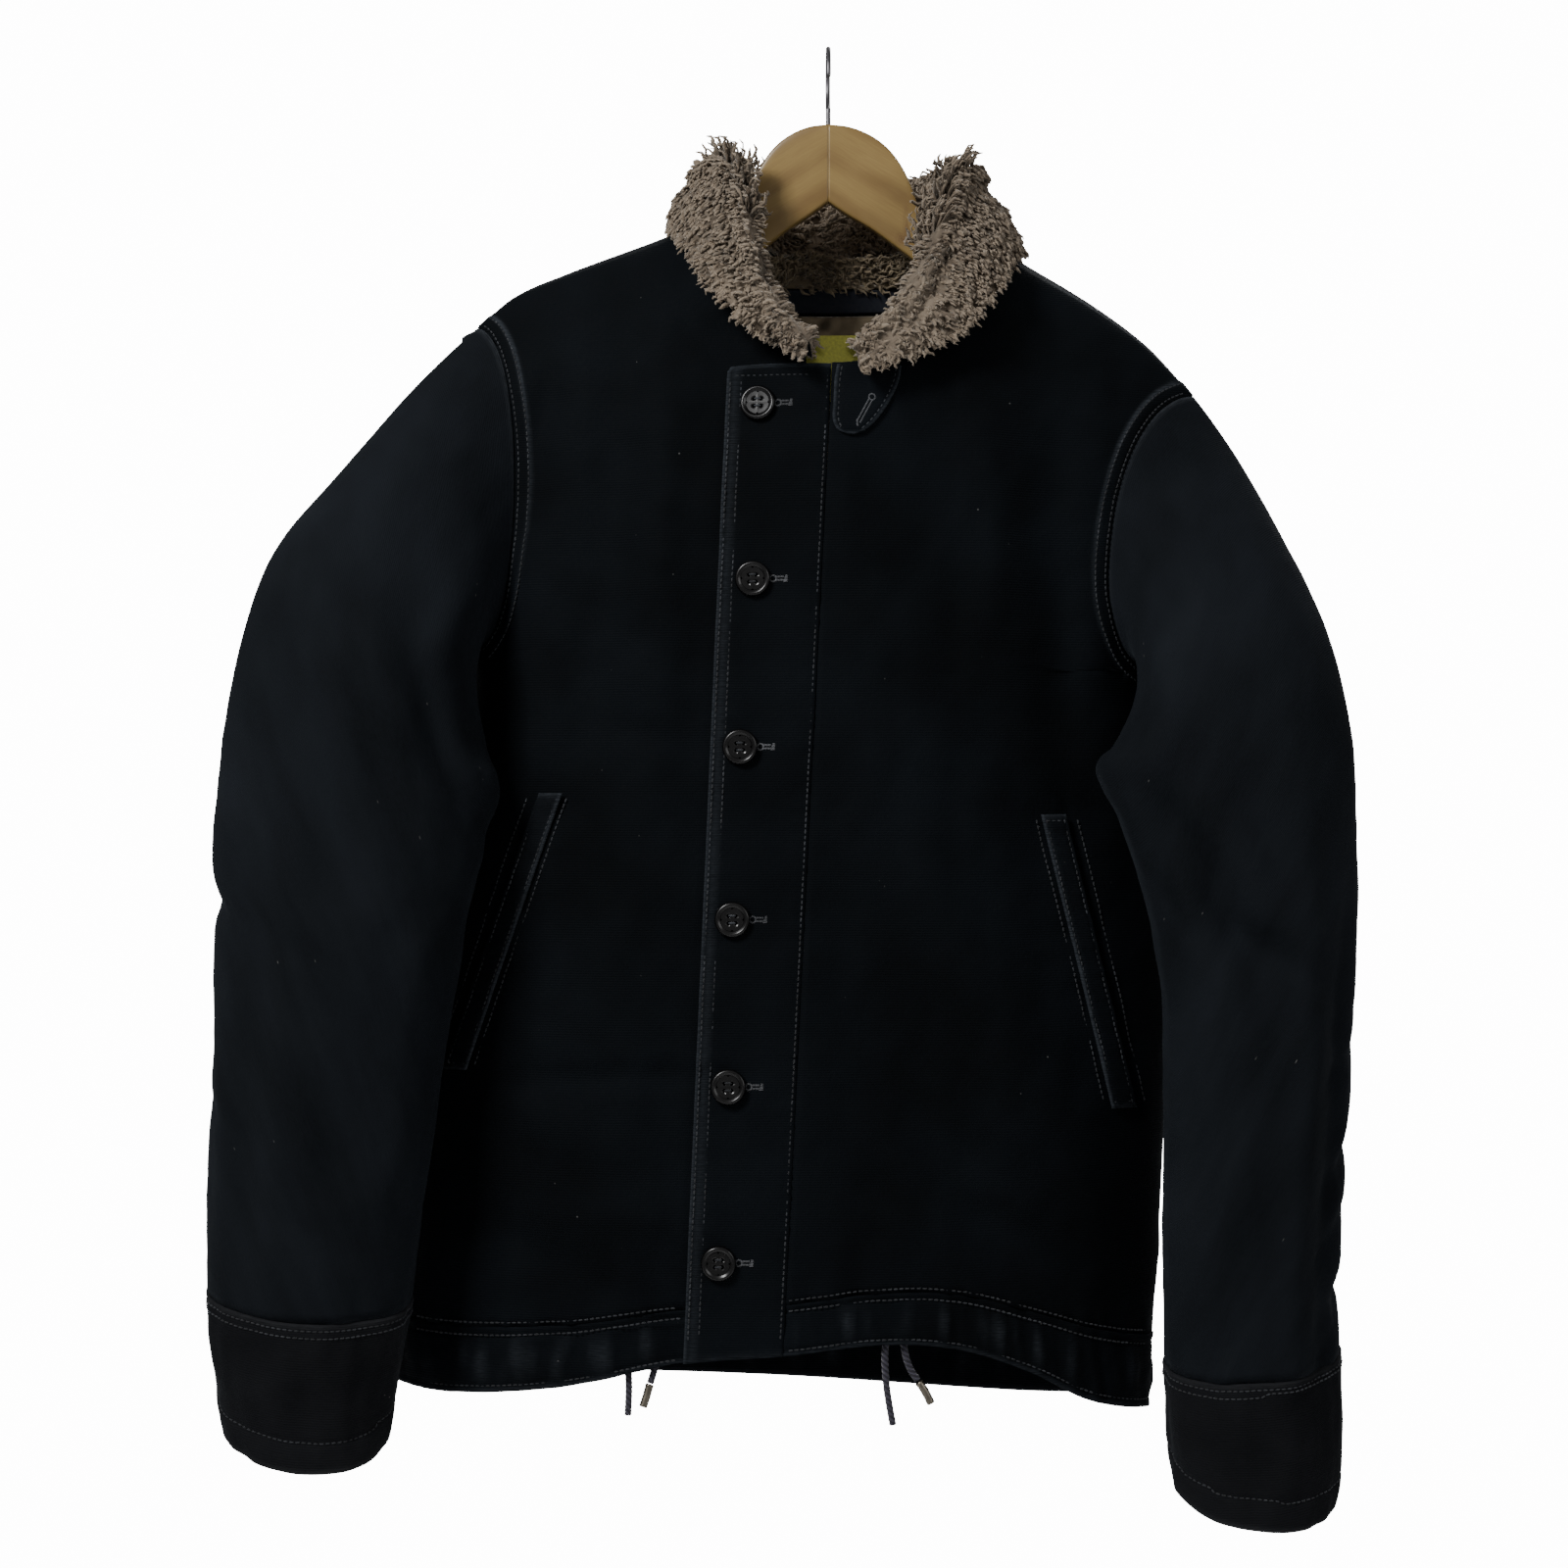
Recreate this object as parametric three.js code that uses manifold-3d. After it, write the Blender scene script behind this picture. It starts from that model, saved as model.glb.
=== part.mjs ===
// A deck jacket on a wooden hanger: black cotton cloth, a folded pile collar, a buttoned overlap at the
// front, two slanted welt pockets, set-in sleeves with stitched cuffs, and a hem band with a drawcord.
// Millimetres, +Z up. The front faces -Y, and X grows to the wearer's left. The origin is the point inside
// the hook's bend where a rail bears. "Left" and "right" in names are the wearer's, so right is at -X.
import * as THREE from "three";
import Module from "manifold-3d";

const wasm = await Module();
wasm.setup();

// Driving sizes
const CLOTH = 3; // shell cloth with its pile backing
const SEAM_GAP = 0.3;
const PANEL_POWER = 2.2; // squareness of the body's level sections
const RIDGE_REACH = 200; // how far below the shoulder line the body gains its full depth
const RIDGE_POWER = 1.7;
const SLEEVE_POWER = 2.15;
const SLEEVE_SPACE = 5; // least space between a sleeve and the body's side
const PILE = 7; // collar pile with its ground cloth, which is thinner at the collar's narrow ends
const UNDER_COLLAR = 2;
const WIRE = 2.8; // hook wire
const HOOK_INSIDE = 16; // radius inside the hook's bend
const WOOD = 12; // hanger board
const BUTTON = { across: 20, thick: 3.8, dish: 14.6, hole: 2.1, spread: 3.1 }; // spread: middle to hole
const CORD = 4;

// Level sections of the body, from the hem up. seam is the side seam's place in depth.
const BODY = [
  { z: -810, centre: -35, half: 220, front: 70, back: 84, seam: 0 },
  { z: -740, centre: -32, half: 221, front: 75, back: 82, seam: 2 },
  { z: -660, centre: -27, half: 221, front: 80, back: 79, seam: 4 },
  { z: -560, centre: -21, half: 219, front: 83, back: 77, seam: 6 },
  { z: -450, centre: -14, half: 212, front: 84, back: 76, seam: 8 },
  { z: -350, centre: -8, half: 197, front: 83, back: 76, seam: 8 },
  { z: -270, centre: -2, half: 202, front: 80, back: 74, seam: 6 },
  { z: -190, centre: 2, half: 212, front: 77, back: 71, seam: 1 },
  { z: -130, centre: 4, half: 217, front: 75, back: 69, seam: 0 },
  { z: -40, centre: 8, half: 214, front: 74, back: 66, seam: 0 },
];

// The shoulder line, seen from the front, and on past each armhole.
const SHOULDER = [
  { x: -245, z: -196 },
  { x: -222, z: -176 },
  { x: -204, z: -161 },
  { x: -183, z: -143 },
  { x: -154, z: -130 },
  { x: -95, z: -108 },
  { x: -57, z: -92 },
  { x: 5, z: -68 },
  { x: 67, z: -95 },
  { x: 115, z: -124 },
  { x: 153, z: -147 },
  { x: 184, z: -170 },
  { x: 204, z: -191 },
  { x: 214, z: -203 },
  { x: 245, z: -243 },
];

// Each armhole runs from the shoulder tip to the pit, scooped towards the body at the front and back.
const ARMHOLE = {
  right: { side: -1, tipX: -204, pitZ: -350, frontScoop: 25, backScoop: 14, round: 0.5 },
  left: { side: 1, tipX: 212, pitZ: -362, frontScoop: 40, backScoop: 20, round: 0.5 },
};

const NECK = { x: 5, half: 62, frontZ: -189, backZ: -118, power: 2.3 };

// Lines down the front: X at z = 0, and how far X moves with each unit of z.
const OVERLAP_EDGE = { x: -49.2, slope: 0.044 };
const PLACKET_SEAM = { x: 10.4, slope: 0.0491 };
const UNDERLAP = 44; // how far the right front runs on below the overlap
const UNDERLAP_SINK = 4.4;

// The hem's lower edge and the hem band's seam, by X.
const HEM_FRONT = [
  { x: -256, edge: -768, seam: -731 },
  { x: -215, edge: -771, seam: -733 },
  { x: -150, edge: -765, seam: -730 },
  { x: -84, edge: -751, seam: -721 },
  { x: -25, edge: -746, seam: -717 },
  { x: 30, edge: -740, seam: -711 },
  { x: 75, edge: -744, seam: -713 },
  { x: 115, edge: -758, seam: -724 },
  { x: 150, edge: -776, seam: -735 },
  { x: 190, edge: -786, seam: -744 },
];
const HEM_BACK = [
  { x: -256, edge: -768, seam: -731 },
  { x: -150, edge: -778, seam: -741 },
  { x: -30, edge: -784, seam: -748 },
  { x: 110, edge: -790, seam: -752 },
  { x: 190, edge: -786, seam: -744 },
];

// Sleeve rings below the armhole: the outer and inner edges seen from the front, the place in depth, the half
// depth, how much lower the front of the ring hangs, and how much of the armhole's own shape is left.
const SLEEVE = {
  right: [
    { outX: -224, outZ: -180, inX: -201, inZ: -357, y: -2, deep: 58, drop: 0, hole: 0.85 },
    { outX: -247, outZ: -206, inX: -194, inZ: -366, y: -14, deep: 60, drop: 2, hole: 0.6 },
    { outX: -281, outZ: -250, inX: -187, inZ: -376, y: -34, deep: 60, drop: 3, hole: 0.32 },
    { outX: -312, outZ: -290, inX: -183, inZ: -387, y: -50, deep: 58, drop: 4, hole: 0.12 },
    { outX: -328, outZ: -335, inX: -182, inZ: -403, y: -62, deep: 56, drop: 5, hole: 0 },
    { outX: -339, outZ: -393, inX: -186, inZ: -430, y: -69, deep: 54, drop: 6, hole: 0 },
    { outX: -344, outZ: -448, inX: -193, inZ: -464, y: -74, deep: 52, drop: 7, hole: 0 },
    { outX: -343, outZ: -500, inX: -203, inZ: -505, y: -76, deep: 51, drop: 8, hole: 0 },
    { outX: -343, outZ: -550, inX: -212, inZ: -555, y: -77, deep: 50, drop: 9, hole: 0 },
    { outX: -345, outZ: -605, inX: -220, inZ: -610, y: -77, deep: 48, drop: 10, hole: 0 },
    { outX: -347, outZ: -655, inX: -227, inZ: -662, y: -77, deep: 46, drop: 10, hole: 0 },
    { outX: -347, outZ: -705, inX: -234, inZ: -714, y: -76, deep: 44, drop: 10, hole: 0 },
    { outX: -344, outZ: -742, inX: -241, inZ: -752, y: -75, deep: 42, drop: 15, hole: 0 },
    { outX: -339, outZ: -777, inX: -245, inZ: -787, y: -74, deep: 40, drop: 21, hole: 0 },
  ],
  left: [
    { outX: 226, outZ: -220, inX: 188, inZ: -371, y: -2, deep: 56, drop: 0, hole: 0.85 },
    { outX: 240, outZ: -245, inX: 178, inZ: -379, y: -15, deep: 58, drop: 2, hole: 0.6 },
    { outX: 256, outZ: -280, inX: 163, inZ: -386, y: -35, deep: 58, drop: 3, hole: 0.32 },
    { outX: 271, outZ: -316, inX: 149, inZ: -393, y: -51, deep: 57, drop: 4, hole: 0.12 },
    { outX: 282, outZ: -350, inX: 144, inZ: -402, y: -62, deep: 55, drop: 5, hole: 0 },
    { outX: 291, outZ: -392, inX: 149, inZ: -418, y: -70, deep: 53, drop: 6, hole: 0 },
    { outX: 293, outZ: -437, inX: 161, inZ: -446, y: -75, deep: 51, drop: 7, hole: 0 },
    { outX: 294, outZ: -483, inX: 173, inZ: -484, y: -77, deep: 50, drop: 7, hole: 0 },
    { outX: 292, outZ: -536, inX: 184, inZ: -536, y: -78, deep: 48, drop: 8, hole: 0 },
    { outX: 290, outZ: -590, inX: 186, inZ: -592, y: -78, deep: 46, drop: 8, hole: 0 },
    { outX: 287, outZ: -640, inX: 186, inZ: -645, y: -78, deep: 45, drop: 8, hole: 0 },
    { outX: 284, outZ: -690, inX: 186, inZ: -697, y: -77, deep: 44, drop: 9, hole: 0 },
    { outX: 284, outZ: -739, inX: 187, inZ: -748, y: -76, deep: 43, drop: 9, hole: 0 },
    { outX: 285, outZ: -783, inX: 189, inZ: -785, y: -75, deep: 41, drop: 13, hole: 0 },
    { outX: 282, outZ: -820, inX: 192, inZ: -814, y: -74, deep: 40, drop: 18, hole: 0 },
  ],
};
const CUFF_RINGS = 3; // the last rings of each sleeve belong to its cuff, which shares the first of them

// Creases on the fronts and back: the middle, how far the foot leans towards +X in degrees, half length, half
// width, and height, which is below zero for a trough.
const FRONT_CREASES = [
  { x: -128, z: -300, lean: -5, long: 150, wide: 20, high: -8 },
  { x: -96, z: -290, lean: -2, long: 130, wide: 16, high: 4 },
  { x: -163, z: -225, lean: -10, long: 60, wide: 11, high: -6 },
  { x: -160, z: -375, lean: 12, long: 60, wide: 18, high: 4 },
  { x: -128, z: -591, lean: 92, long: 62, wide: 6, high: -4 },
  { x: -150, z: -620, lean: 70, long: 60, wide: 14, high: 3 },
  { x: -180, z: -680, lean: 62, long: 55, wide: 12, high: -5 },
  { x: -118, z: -668, lean: 80, long: 45, wide: 14, high: 3 },
  { x: -104, z: -398, lean: 75, long: 22, wide: 8, high: -3 },
  { x: 32, z: -330, lean: 16, long: 120, wide: 24, high: 4 },
  { x: 75, z: -520, lean: 28, long: 190, wide: 24, high: 7 },
  { x: 34, z: -570, lean: 27, long: 130, wide: 20, high: -5 },
  { x: 128, z: -330, lean: 3, long: 120, wide: 18, high: -10 },
  { x: 92, z: -270, lean: 4, long: 110, wide: 18, high: 4 },
  { x: 112, z: -455, lean: 12, long: 70, wide: 16, high: -4 },
  { x: 100, z: -675, lean: 68, long: 50, wide: 11, high: -4 },
  { x: 20, z: -650, lean: 60, long: 60, wide: 14, high: -3 },
];
const BACK_CREASES = [
  { x: -60, z: -330, lean: 12, long: 150, wide: 22, high: -6 },
  { x: 55, z: -350, lean: -10, long: 160, wide: 24, high: -7 },
  { x: 0, z: -420, lean: 2, long: 170, wide: 26, high: 4 },
  { x: -150, z: -300, lean: -14, long: 100, wide: 16, high: -7 },
  { x: 145, z: -320, lean: 14, long: 110, wide: 16, high: -8 },
  { x: -95, z: -620, lean: 78, long: 80, wide: 14, high: -4 },
  { x: 70, z: -640, lean: 100, long: 80, wide: 13, high: -4 },
  { x: -10, z: -690, lean: 86, long: 110, wide: 12, high: 3 },
];
// Creases on the sleeves: down is the distance from the armhole, and turn is the angle from the sleeve's
// outer edge over its front.
const SLEEVE_CREASES = {
  right: [
    { down: 120, turn: 118, lean: 30, long: 70, wide: 11, high: -7 },
    { down: 175, turn: 150, lean: 55, long: 50, wide: 10, high: -5 },
    { down: 330, turn: 52, lean: 4, long: 170, wide: 16, high: -4 },
    { down: 300, turn: 88, lean: 0, long: 190, wide: 22, high: 4 },
    { down: 250, turn: 10, lean: 78, long: 40, wide: 9, high: -5 },
    { down: 470, turn: 128, lean: 30, long: 80, wide: 16, high: -4 },
    { down: 230, turn: 285, lean: 20, long: 110, wide: 18, high: -6 },
    { down: 400, turn: 262, lean: -35, long: 80, wide: 14, high: -5 },
  ],
  left: [
    { down: 205, turn: 112, lean: -22, long: 60, wide: 14, high: -10 },
    { down: 232, turn: 88, lean: -62, long: 42, wide: 10, high: -7 },
    { down: 330, turn: 70, lean: 2, long: 190, wide: 12, high: 6 },
    { down: 330, turn: 40, lean: 3, long: 150, wide: 12, high: -4 },
    { down: 150, turn: 130, lean: 30, long: 60, wide: 14, high: -8 },
    { down: 355, turn: 18, lean: 65, long: 34, wide: 10, high: -5 },
    { down: 430, turn: 14, lean: 70, long: 34, wide: 10, high: -5 },
    { down: 400, turn: 118, lean: -18, long: 100, wide: 16, high: -4 },
    { down: 240, turn: 285, lean: -20, long: 110, wide: 18, high: -6 },
    { down: 420, turn: 262, lean: 35, long: 80, wide: 14, high: -5 },
  ],
};

// The collar's rows, from the wearer's right front end round the back to the left front end: the neck seam,
// the top of the fold, and the outer edge that lies on the shoulders.
const COLLAR = [
  { neck: [-8, -66, -184], fold: [-10, -74, -172], edge: [-18, -84, -188] },
  { neck: [-24, -60, -172], fold: [-26, -66, -148], edge: [-43, -80, -171] },
  { neck: [-40, -44, -150], fold: [-36, -50, -116], edge: [-66, -70, -146] },
  { neck: [-50, -22, -110], fold: [-50, -26, -80], edge: [-86, -38, -114] },
  { neck: [-60, 2, -89], fold: [-64, 4, -62], edge: [-94, 4, -98] },
  { neck: [-50, 26, -98], fold: [-54, 34, -60], edge: [-78, 54, -108] },
  { neck: [-26, 38, -110], fold: [-26, 50, -60], edge: [-34, 78, -118] },
  { neck: [5, 42, -115], fold: [6, 55, -60], edge: [8, 84, -121] },
  { neck: [36, 38, -111], fold: [38, 50, -60], edge: [50, 78, -120] },
  { neck: [60, 26, -100], fold: [66, 34, -60], edge: [96, 54, -118] },
  { neck: [70, 2, -92], fold: [77, 4, -63], edge: [114, 4, -112] },
  { neck: [59, -22, -113], fold: [64, -26, -86], edge: [106, -38, -130] },
  { neck: [46, -43, -148], fold: [49, -50, -120], edge: [84, -70, -162] },
  { neck: [34, -60, -173], fold: [31, -66, -152], edge: [50, -80, -184] },
  { neck: [16, -66, -184], fold: [12, -74, -174], edge: [16, -86, -194] },
];
const FOLD_ROUND = 10.5; // half the collar's thickness over its fold

const BUTTONS = [
  { x: -40.4, z: -212 },
  { x: -43.2, z: -311 },
  { x: -50.3, z: -405 },
  { x: -54.6, z: -501.5 },
  { x: -56.8, z: -595 },
  { x: -62.3, z: -693.5 },
];

// Pocket welts: the middles of the two ends, and the width.
const WELTS = {
  right: { topX: -157, topZ: -431, endX: -212, endZ: -588, wide: 13 },
  left: { topX: 126, topZ: -443, endX: 167, endZ: -610, wide: 14 },
};

// The throat tab below the collar's left end: half widths along its length.
const TAB = [
  { x: 22, z: -191, half: 18 },
  { x: 20.5, z: -200, half: 18 },
  { x: 17.5, z: -212, half: 15.5 },
  { x: 14, z: -222, half: 11 },
  { x: 12, z: -229, half: 5.5 },
];

// The hanger's upper and lower edges, the same each side of the middle.
const CROWN = [
  { x: 0, top: -42.8, low: -89.5 },
  { x: 12, top: -44.2, low: -94 },
  { x: 24, top: -48.8, low: -103 },
  { x: 34, top: -56, low: -110 },
  { x: 42, top: -66, low: -116 },
  { x: 48, top: -78, low: -120.5 },
  { x: 53, top: -92, low: -124.5 },
  { x: 58, top: -101, low: -129 },
  { x: 66, top: -107, low: -134 },
];
const CROWN_WIDTH = { right: 0.92, left: 1 };
const ARM = { below: 8.8, deepAtNeck: 29, deepAtEnd: 20, end: { right: -184, left: 190 } };

const COLOURS = {
  cloth: [0x14171b, 0.9, 0],
  cuff: [0x18191c, 0.9, 0],
  pile: [0x85776a, 0.95, 0],
  lining: [0x4a4032, 0.95, 0],
  tape: [0x101420, 0.8, 0],
  label: [0xb5ad4a, 0.7, 0],
  wood: [0xa8864e, 0.45, 0],
  wire: [0x77757a, 0.3, 1],
  button: [0x0d0c0d, 0.25, 0],
  cord: [0x1f1c26, 0.85, 0],
  tip: [0x8a8272, 0.35, 1],
};

const clamp = (v, low, high) => Math.min(high, Math.max(low, v));
const mix = (a, b, share) => a + (b - a) * share;
const radians = (degrees) => (degrees * Math.PI) / 180;
const vector = (x, y, z) => new THREE.Vector3(x, y, z);
const ease = (v) => {
  const t = clamp(v, 0, 1);
  return t * t * (3 - 2 * t);
};

// Reads every column of a table at a place along its rising key column, on a smooth curve through the rows.
// A column holds numbers, or points as [x, y, z].
function read(table, key, at) {
  const last = table.length - 1;
  let i = 0;
  while (i < last - 1 && table[i + 1][key] <= at) i += 1;
  const [a, b] = [table[i], table[i + 1]];
  const before = table[Math.max(i - 1, 0)];
  const after = table[Math.min(i + 2, last)];
  const span = b[key] - a[key];
  const t = clamp((at - a[key]) / span, 0, 1);
  const curve = (value) => {
    const slopeA = (value(b) - value(before)) / (b[key] - before[key]);
    const slopeB = (value(after) - value(a)) / (after[key] - a[key]);
    return (
      value(a) * (1 + 2 * t) * (1 - t) ** 2 +
      value(b) * (3 - 2 * t) * t ** 2 +
      slopeA * span * t * (1 - t) ** 2 -
      slopeB * span * (1 - t) * t ** 2
    );
  };
  const result = {};
  for (const column of Object.keys(a)) {
    if (Array.isArray(a[column])) result[column] = [0, 1, 2].map((k) => curve((row) => row[column][k]));
    else result[column] = curve((row) => row[column]);
  }
  return result;
}

const numbered = (table) => table.map((row, place) => ({ ...row, place }));

// The height of all creases at a place, where offset gives a crease's distances across and up.
function creaseHeight(creases, offset) {
  let height = 0;
  for (const crease of creases) {
    const [across, up] = offset(crease);
    const lean = radians(crease.lean);
    const along = across * Math.sin(lean) - up * Math.cos(lean);
    const beside = across * Math.cos(lean) + up * Math.sin(lean);
    height += crease.high * Math.exp(-((along / crease.long) ** 2) - (beside / crease.wide) ** 2);
  }
  return height;
}

// Body surface

const shoulderZ = (x) => read(SHOULDER, "x", x).z;

// The body's level section at a place: the side seam's depth, how far a face stands off it, and what the creases
// add. face is -1 for the front and 1 for the back.
function bodySection(x, z, face) {
  const { centre, half, front, back, seam } = read(BODY, "z", z);
  const reach = clamp(Math.abs(x - centre) / half, 0, 1);
  const below = clamp((shoulderZ(x) - z) / RIDGE_REACH, 0, 1);
  const ridge = (1 - (1 - below) ** RIDGE_POWER) ** (1 / RIDGE_POWER);
  const creases = face < 0 ? FRONT_CREASES : BACK_CREASES;
  const height = creaseHeight(creases, (crease) => [x - crease.x, z - crease.z]);
  const raised = height * ease((1 - reach) * 6) * ease(below * 6);
  return { centre, half, reach, seam: seam * ridge, depth: (face < 0 ? front : back) * ridge, raised };
}

// The depth of the body's outer face.
function bodyY(x, z, face) {
  const { reach, seam, depth, raised } = bodySection(x, z, face);
  return seam + face * (depth * (1 - reach ** PANEL_POWER) ** (1 / PANEL_POWER) + raised);
}

function bodyNormal(x, z, face) {
  const step = 0.5;
  const slopeX = (bodyY(x + step, z, face) - bodyY(x - step, z, face)) / (2 * step);
  const slopeZ = (bodyY(x, z + step, face) - bodyY(x, z - step, face)) / (2 * step);
  return vector(-slopeX, 1, -slopeZ).normalize().multiplyScalar(face);
}

const bodyPoint = (x, z, face) => vector(x, bodyY(x, z, face), z);

const sideX = (z, side) => {
  const section = read(BODY, "z", z);
  return section.centre + side * section.half;
};

const lineX = (line) => (z) => line.x + line.slope * z;
const edgeX = lineX(OVERLAP_EDGE);
const seamX = lineX(PLACKET_SEAM);
const underlapX = (z) => edgeX(z) + UNDERLAP;
const underlapSink = (x, z) => UNDERLAP_SINK * ease((x - (edgeX(z) - 44)) / 40) * ease((-140 - z) / 45);

// An armhole's edge: turn is 0 at the shoulder tip, 180 at the pit by way of the front, and 360 by the back.
function armholePoint(name, turn) {
  const hole = ARMHOLE[name];
  const face = turn <= 180 ? -1 : 1;
  const share = (1 - Math.cos(radians(turn))) / 2;
  const scoop = face < 0 ? hole.frontScoop : hole.backScoop;
  const bend = Math.max(0, 1 - Math.abs(2 * share - 1) ** 2.2) ** hole.round;
  const x = mix(hole.tipX, sideX(hole.pitZ, hole.side), share) - hole.side * scoop * bend;
  const z = Math.min(mix(shoulderZ(hole.tipX), hole.pitZ, share), shoulderZ(x));
  return bodyPoint(x, z, face);
}

// The cloth's outward direction on the armhole's edge, the same for the body and the sleeve.
function armholeNormal(name, turn) {
  const { side } = ARMHOLE[name];
  const face = turn <= 180 ? -1 : 1;
  const point = armholePoint(name, turn);
  const normal = bodyNormal(point.x, point.z, face);
  const nearTip = 1 - ease(Math.min(turn, 360 - turn) / 40);
  const nearPit = 1 - ease(Math.abs(turn - 180) / 40);
  normal.lerp(vector(side * 0.35, 0, 1).normalize(), nearTip);
  return normal.lerp(vector(side * 0.5, 0, -0.87), nearPit).normalize();
}

// Solids from grids of points

function facingOut(geometry) {
  const p = geometry.getAttribute("position");
  const index = geometry.index.array;
  const [a, b, c] = [vector(0, 0, 0), vector(0, 0, 0), vector(0, 0, 0)];
  let volume = 0;
  for (let i = 0; i < index.length; i += 3) {
    a.fromBufferAttribute(p, index[i]);
    b.fromBufferAttribute(p, index[i + 1]);
    c.fromBufferAttribute(p, index[i + 2]);
    volume += a.dot(b.cross(c));
  }
  if (volume < 0) {
    for (let i = 0; i < index.length; i += 3) [index[i + 1], index[i + 2]] = [index[i + 2], index[i + 1]];
  }
  return geometry;
}

function solid(points, index) {
  const geometry = new THREE.BufferGeometry();
  const xyz = points.flatMap((p) => [p.x, p.y, p.z]);
  geometry.setAttribute("position", new THREE.Float32BufferAttribute(xyz, 3));
  geometry.setIndex(index);
  return facingOut(geometry);
}

// A closed wall between an outer and an inner grid of one size. round joins the last column to the first.
function wall(outer, inner, round = false) {
  const rows = outer.length;
  const columns = outer[0].length;
  const index = [];
  const quad = (a, b, c, d) => index.push(a, b, c, a, c, d);
  const out = (i, j) => i * columns + (j % columns);
  const inn = (i, j) => rows * columns + out(i, j);
  const spans = round ? columns : columns - 1;
  for (let j = 0; j < spans; j++) {
    for (let i = 0; i < rows - 1; i++) {
      quad(out(i, j), out(i, j + 1), out(i + 1, j + 1), out(i + 1, j));
      quad(inn(i, j), inn(i + 1, j), inn(i + 1, j + 1), inn(i, j + 1));
    }
    quad(out(0, j), inn(0, j), inn(0, j + 1), out(0, j + 1));
    quad(out(rows - 1, j), out(rows - 1, j + 1), inn(rows - 1, j + 1), inn(rows - 1, j));
  }
  if (!round) {
    const end = columns - 1;
    for (let i = 0; i < rows - 1; i++) {
      quad(out(i, 0), out(i + 1, 0), inn(i + 1, 0), inn(i, 0));
      quad(out(i, end), inn(i, end), inn(i + 1, end), out(i + 1, end));
    }
  }
  return solid([...outer.flat(), ...inner.flat()], index);
}

// A solid bar through rings of points, with flat ends.
function bar(rings) {
  const count = rings[0].length;
  const points = rings.flat();
  const index = [];
  for (let i = 0; i < rings.length - 1; i++) {
    for (let j = 0; j < count; j++) {
      const [a, b] = [i * count + j, i * count + ((j + 1) % count)];
      index.push(a, b, b + count, a, b + count, a + count);
    }
  }
  const endMiddle = (ring, first, turned) => {
    const middle = points.length;
    points.push(ring.reduce((sum, p) => sum.add(p), vector(0, 0, 0)).divideScalar(count));
    for (let j = 0; j < count; j++) {
      const next = first + ((j + 1) % count);
      index.push(middle, ...(turned ? [next, first + j] : [first + j, next]));
    }
  };
  endMiddle(rings[0], 0, true);
  endMiddle(rings[rings.length - 1], (rings.length - 1) * count, false);
  return solid(points, index);
}

// A round bar along a path, with a narrowed first and last ring.
function roundBar(path, radius, sides = 10) {
  const rings = path.map((point, i) => {
    const along = path[Math.min(i + 1, path.length - 1)].clone().sub(path[Math.max(i - 1, 0)]).normalize();
    const across = Math.abs(along.x) < 0.9 ? vector(1, 0, 0) : vector(0, 1, 0);
    across.addScaledVector(along, -across.dot(along)).normalize();
    const other = along.clone().cross(across);
    const r = i === 0 || i === path.length - 1 ? radius * 0.72 : radius;
    return Array.from({ length: sides }, (_, j) => {
      const angle = (2 * Math.PI * j) / sides;
      const rim = point.clone().addScaledVector(across, r * Math.cos(angle));
      return rim.addScaledVector(other, r * Math.sin(angle));
    });
  });
  return bar(rings);
}

// The outward direction at each point of a grid, judged by which way it is from a middle point.
function gridNormals(grid, middle, round = false) {
  const last = grid.length - 1;
  const columns = grid[0].length;
  return grid.map((line, i) =>
    line.map((point, j) => {
      const before = round ? (j + columns - 1) % columns : Math.max(j - 1, 0);
      const after = round ? (j + 1) % columns : Math.min(j + 1, columns - 1);
      const across = line[after].clone().sub(line[before]);
      const up = grid[Math.min(i + 1, last)][j].clone().sub(grid[Math.max(i - 1, 0)][j]);
      const normal = across.cross(up).normalize();
      return normal.dot(point.clone().sub(middle(point, i))) < 0 ? normal.negate() : normal;
    }),
  );
}

const bodyMiddle = (point) => {
  const x = clamp(point.x, -150, 130);
  return vector(x, 0, Math.min(point.z, shoulderZ(x) - 70));
};

// The grid moved in by a distance. pin lists what stays in place at the edges.
function movedIn(grid, distance, middle, pin = () => {}, round = false) {
  const normals = gridNormals(grid, middle, round);
  const inner = grid.map((line, i) => line.map((p, j) => {
    return p.clone().addScaledVector(normals[i][j], -distance);
  }));
  pin(inner, grid);
  return inner;
}

function toManifold(geometry) {
  return new wasm.Manifold(new wasm.Mesh({
    numProp: 3,
    vertProperties: new Float32Array(geometry.getAttribute("position").array),
    triVerts: new Uint32Array(geometry.index.array),
  }));
}

function toGeometry(manifold) {
  const mesh = manifold.getMesh();
  const geometry = new THREE.BufferGeometry();
  const xyz = new Float32Array(mesh.numVert * 3);
  for (let i = 0; i < mesh.numVert; i++) {
    for (let k = 0; k < 3; k++) xyz[3 * i + k] = mesh.vertProperties[mesh.numProp * i + k];
  }
  geometry.setAttribute("position", new THREE.BufferAttribute(xyz, 3));
  geometry.setIndex(Array.from(mesh.triVerts));
  return geometry;
}

// Body panels

const LOW_ROWS = 11; // spans between the hem band's seam and the armhole's pit
const HIGH_ROWS = 10; // spans between the pit and the shoulder
const BAND_ROWS = 3;
const SEAM_Z = -735; // the level at which the hem tables are read
const FRONT_COLUMNS = 12;
const PLACKET_COLUMNS = 4;

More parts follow.
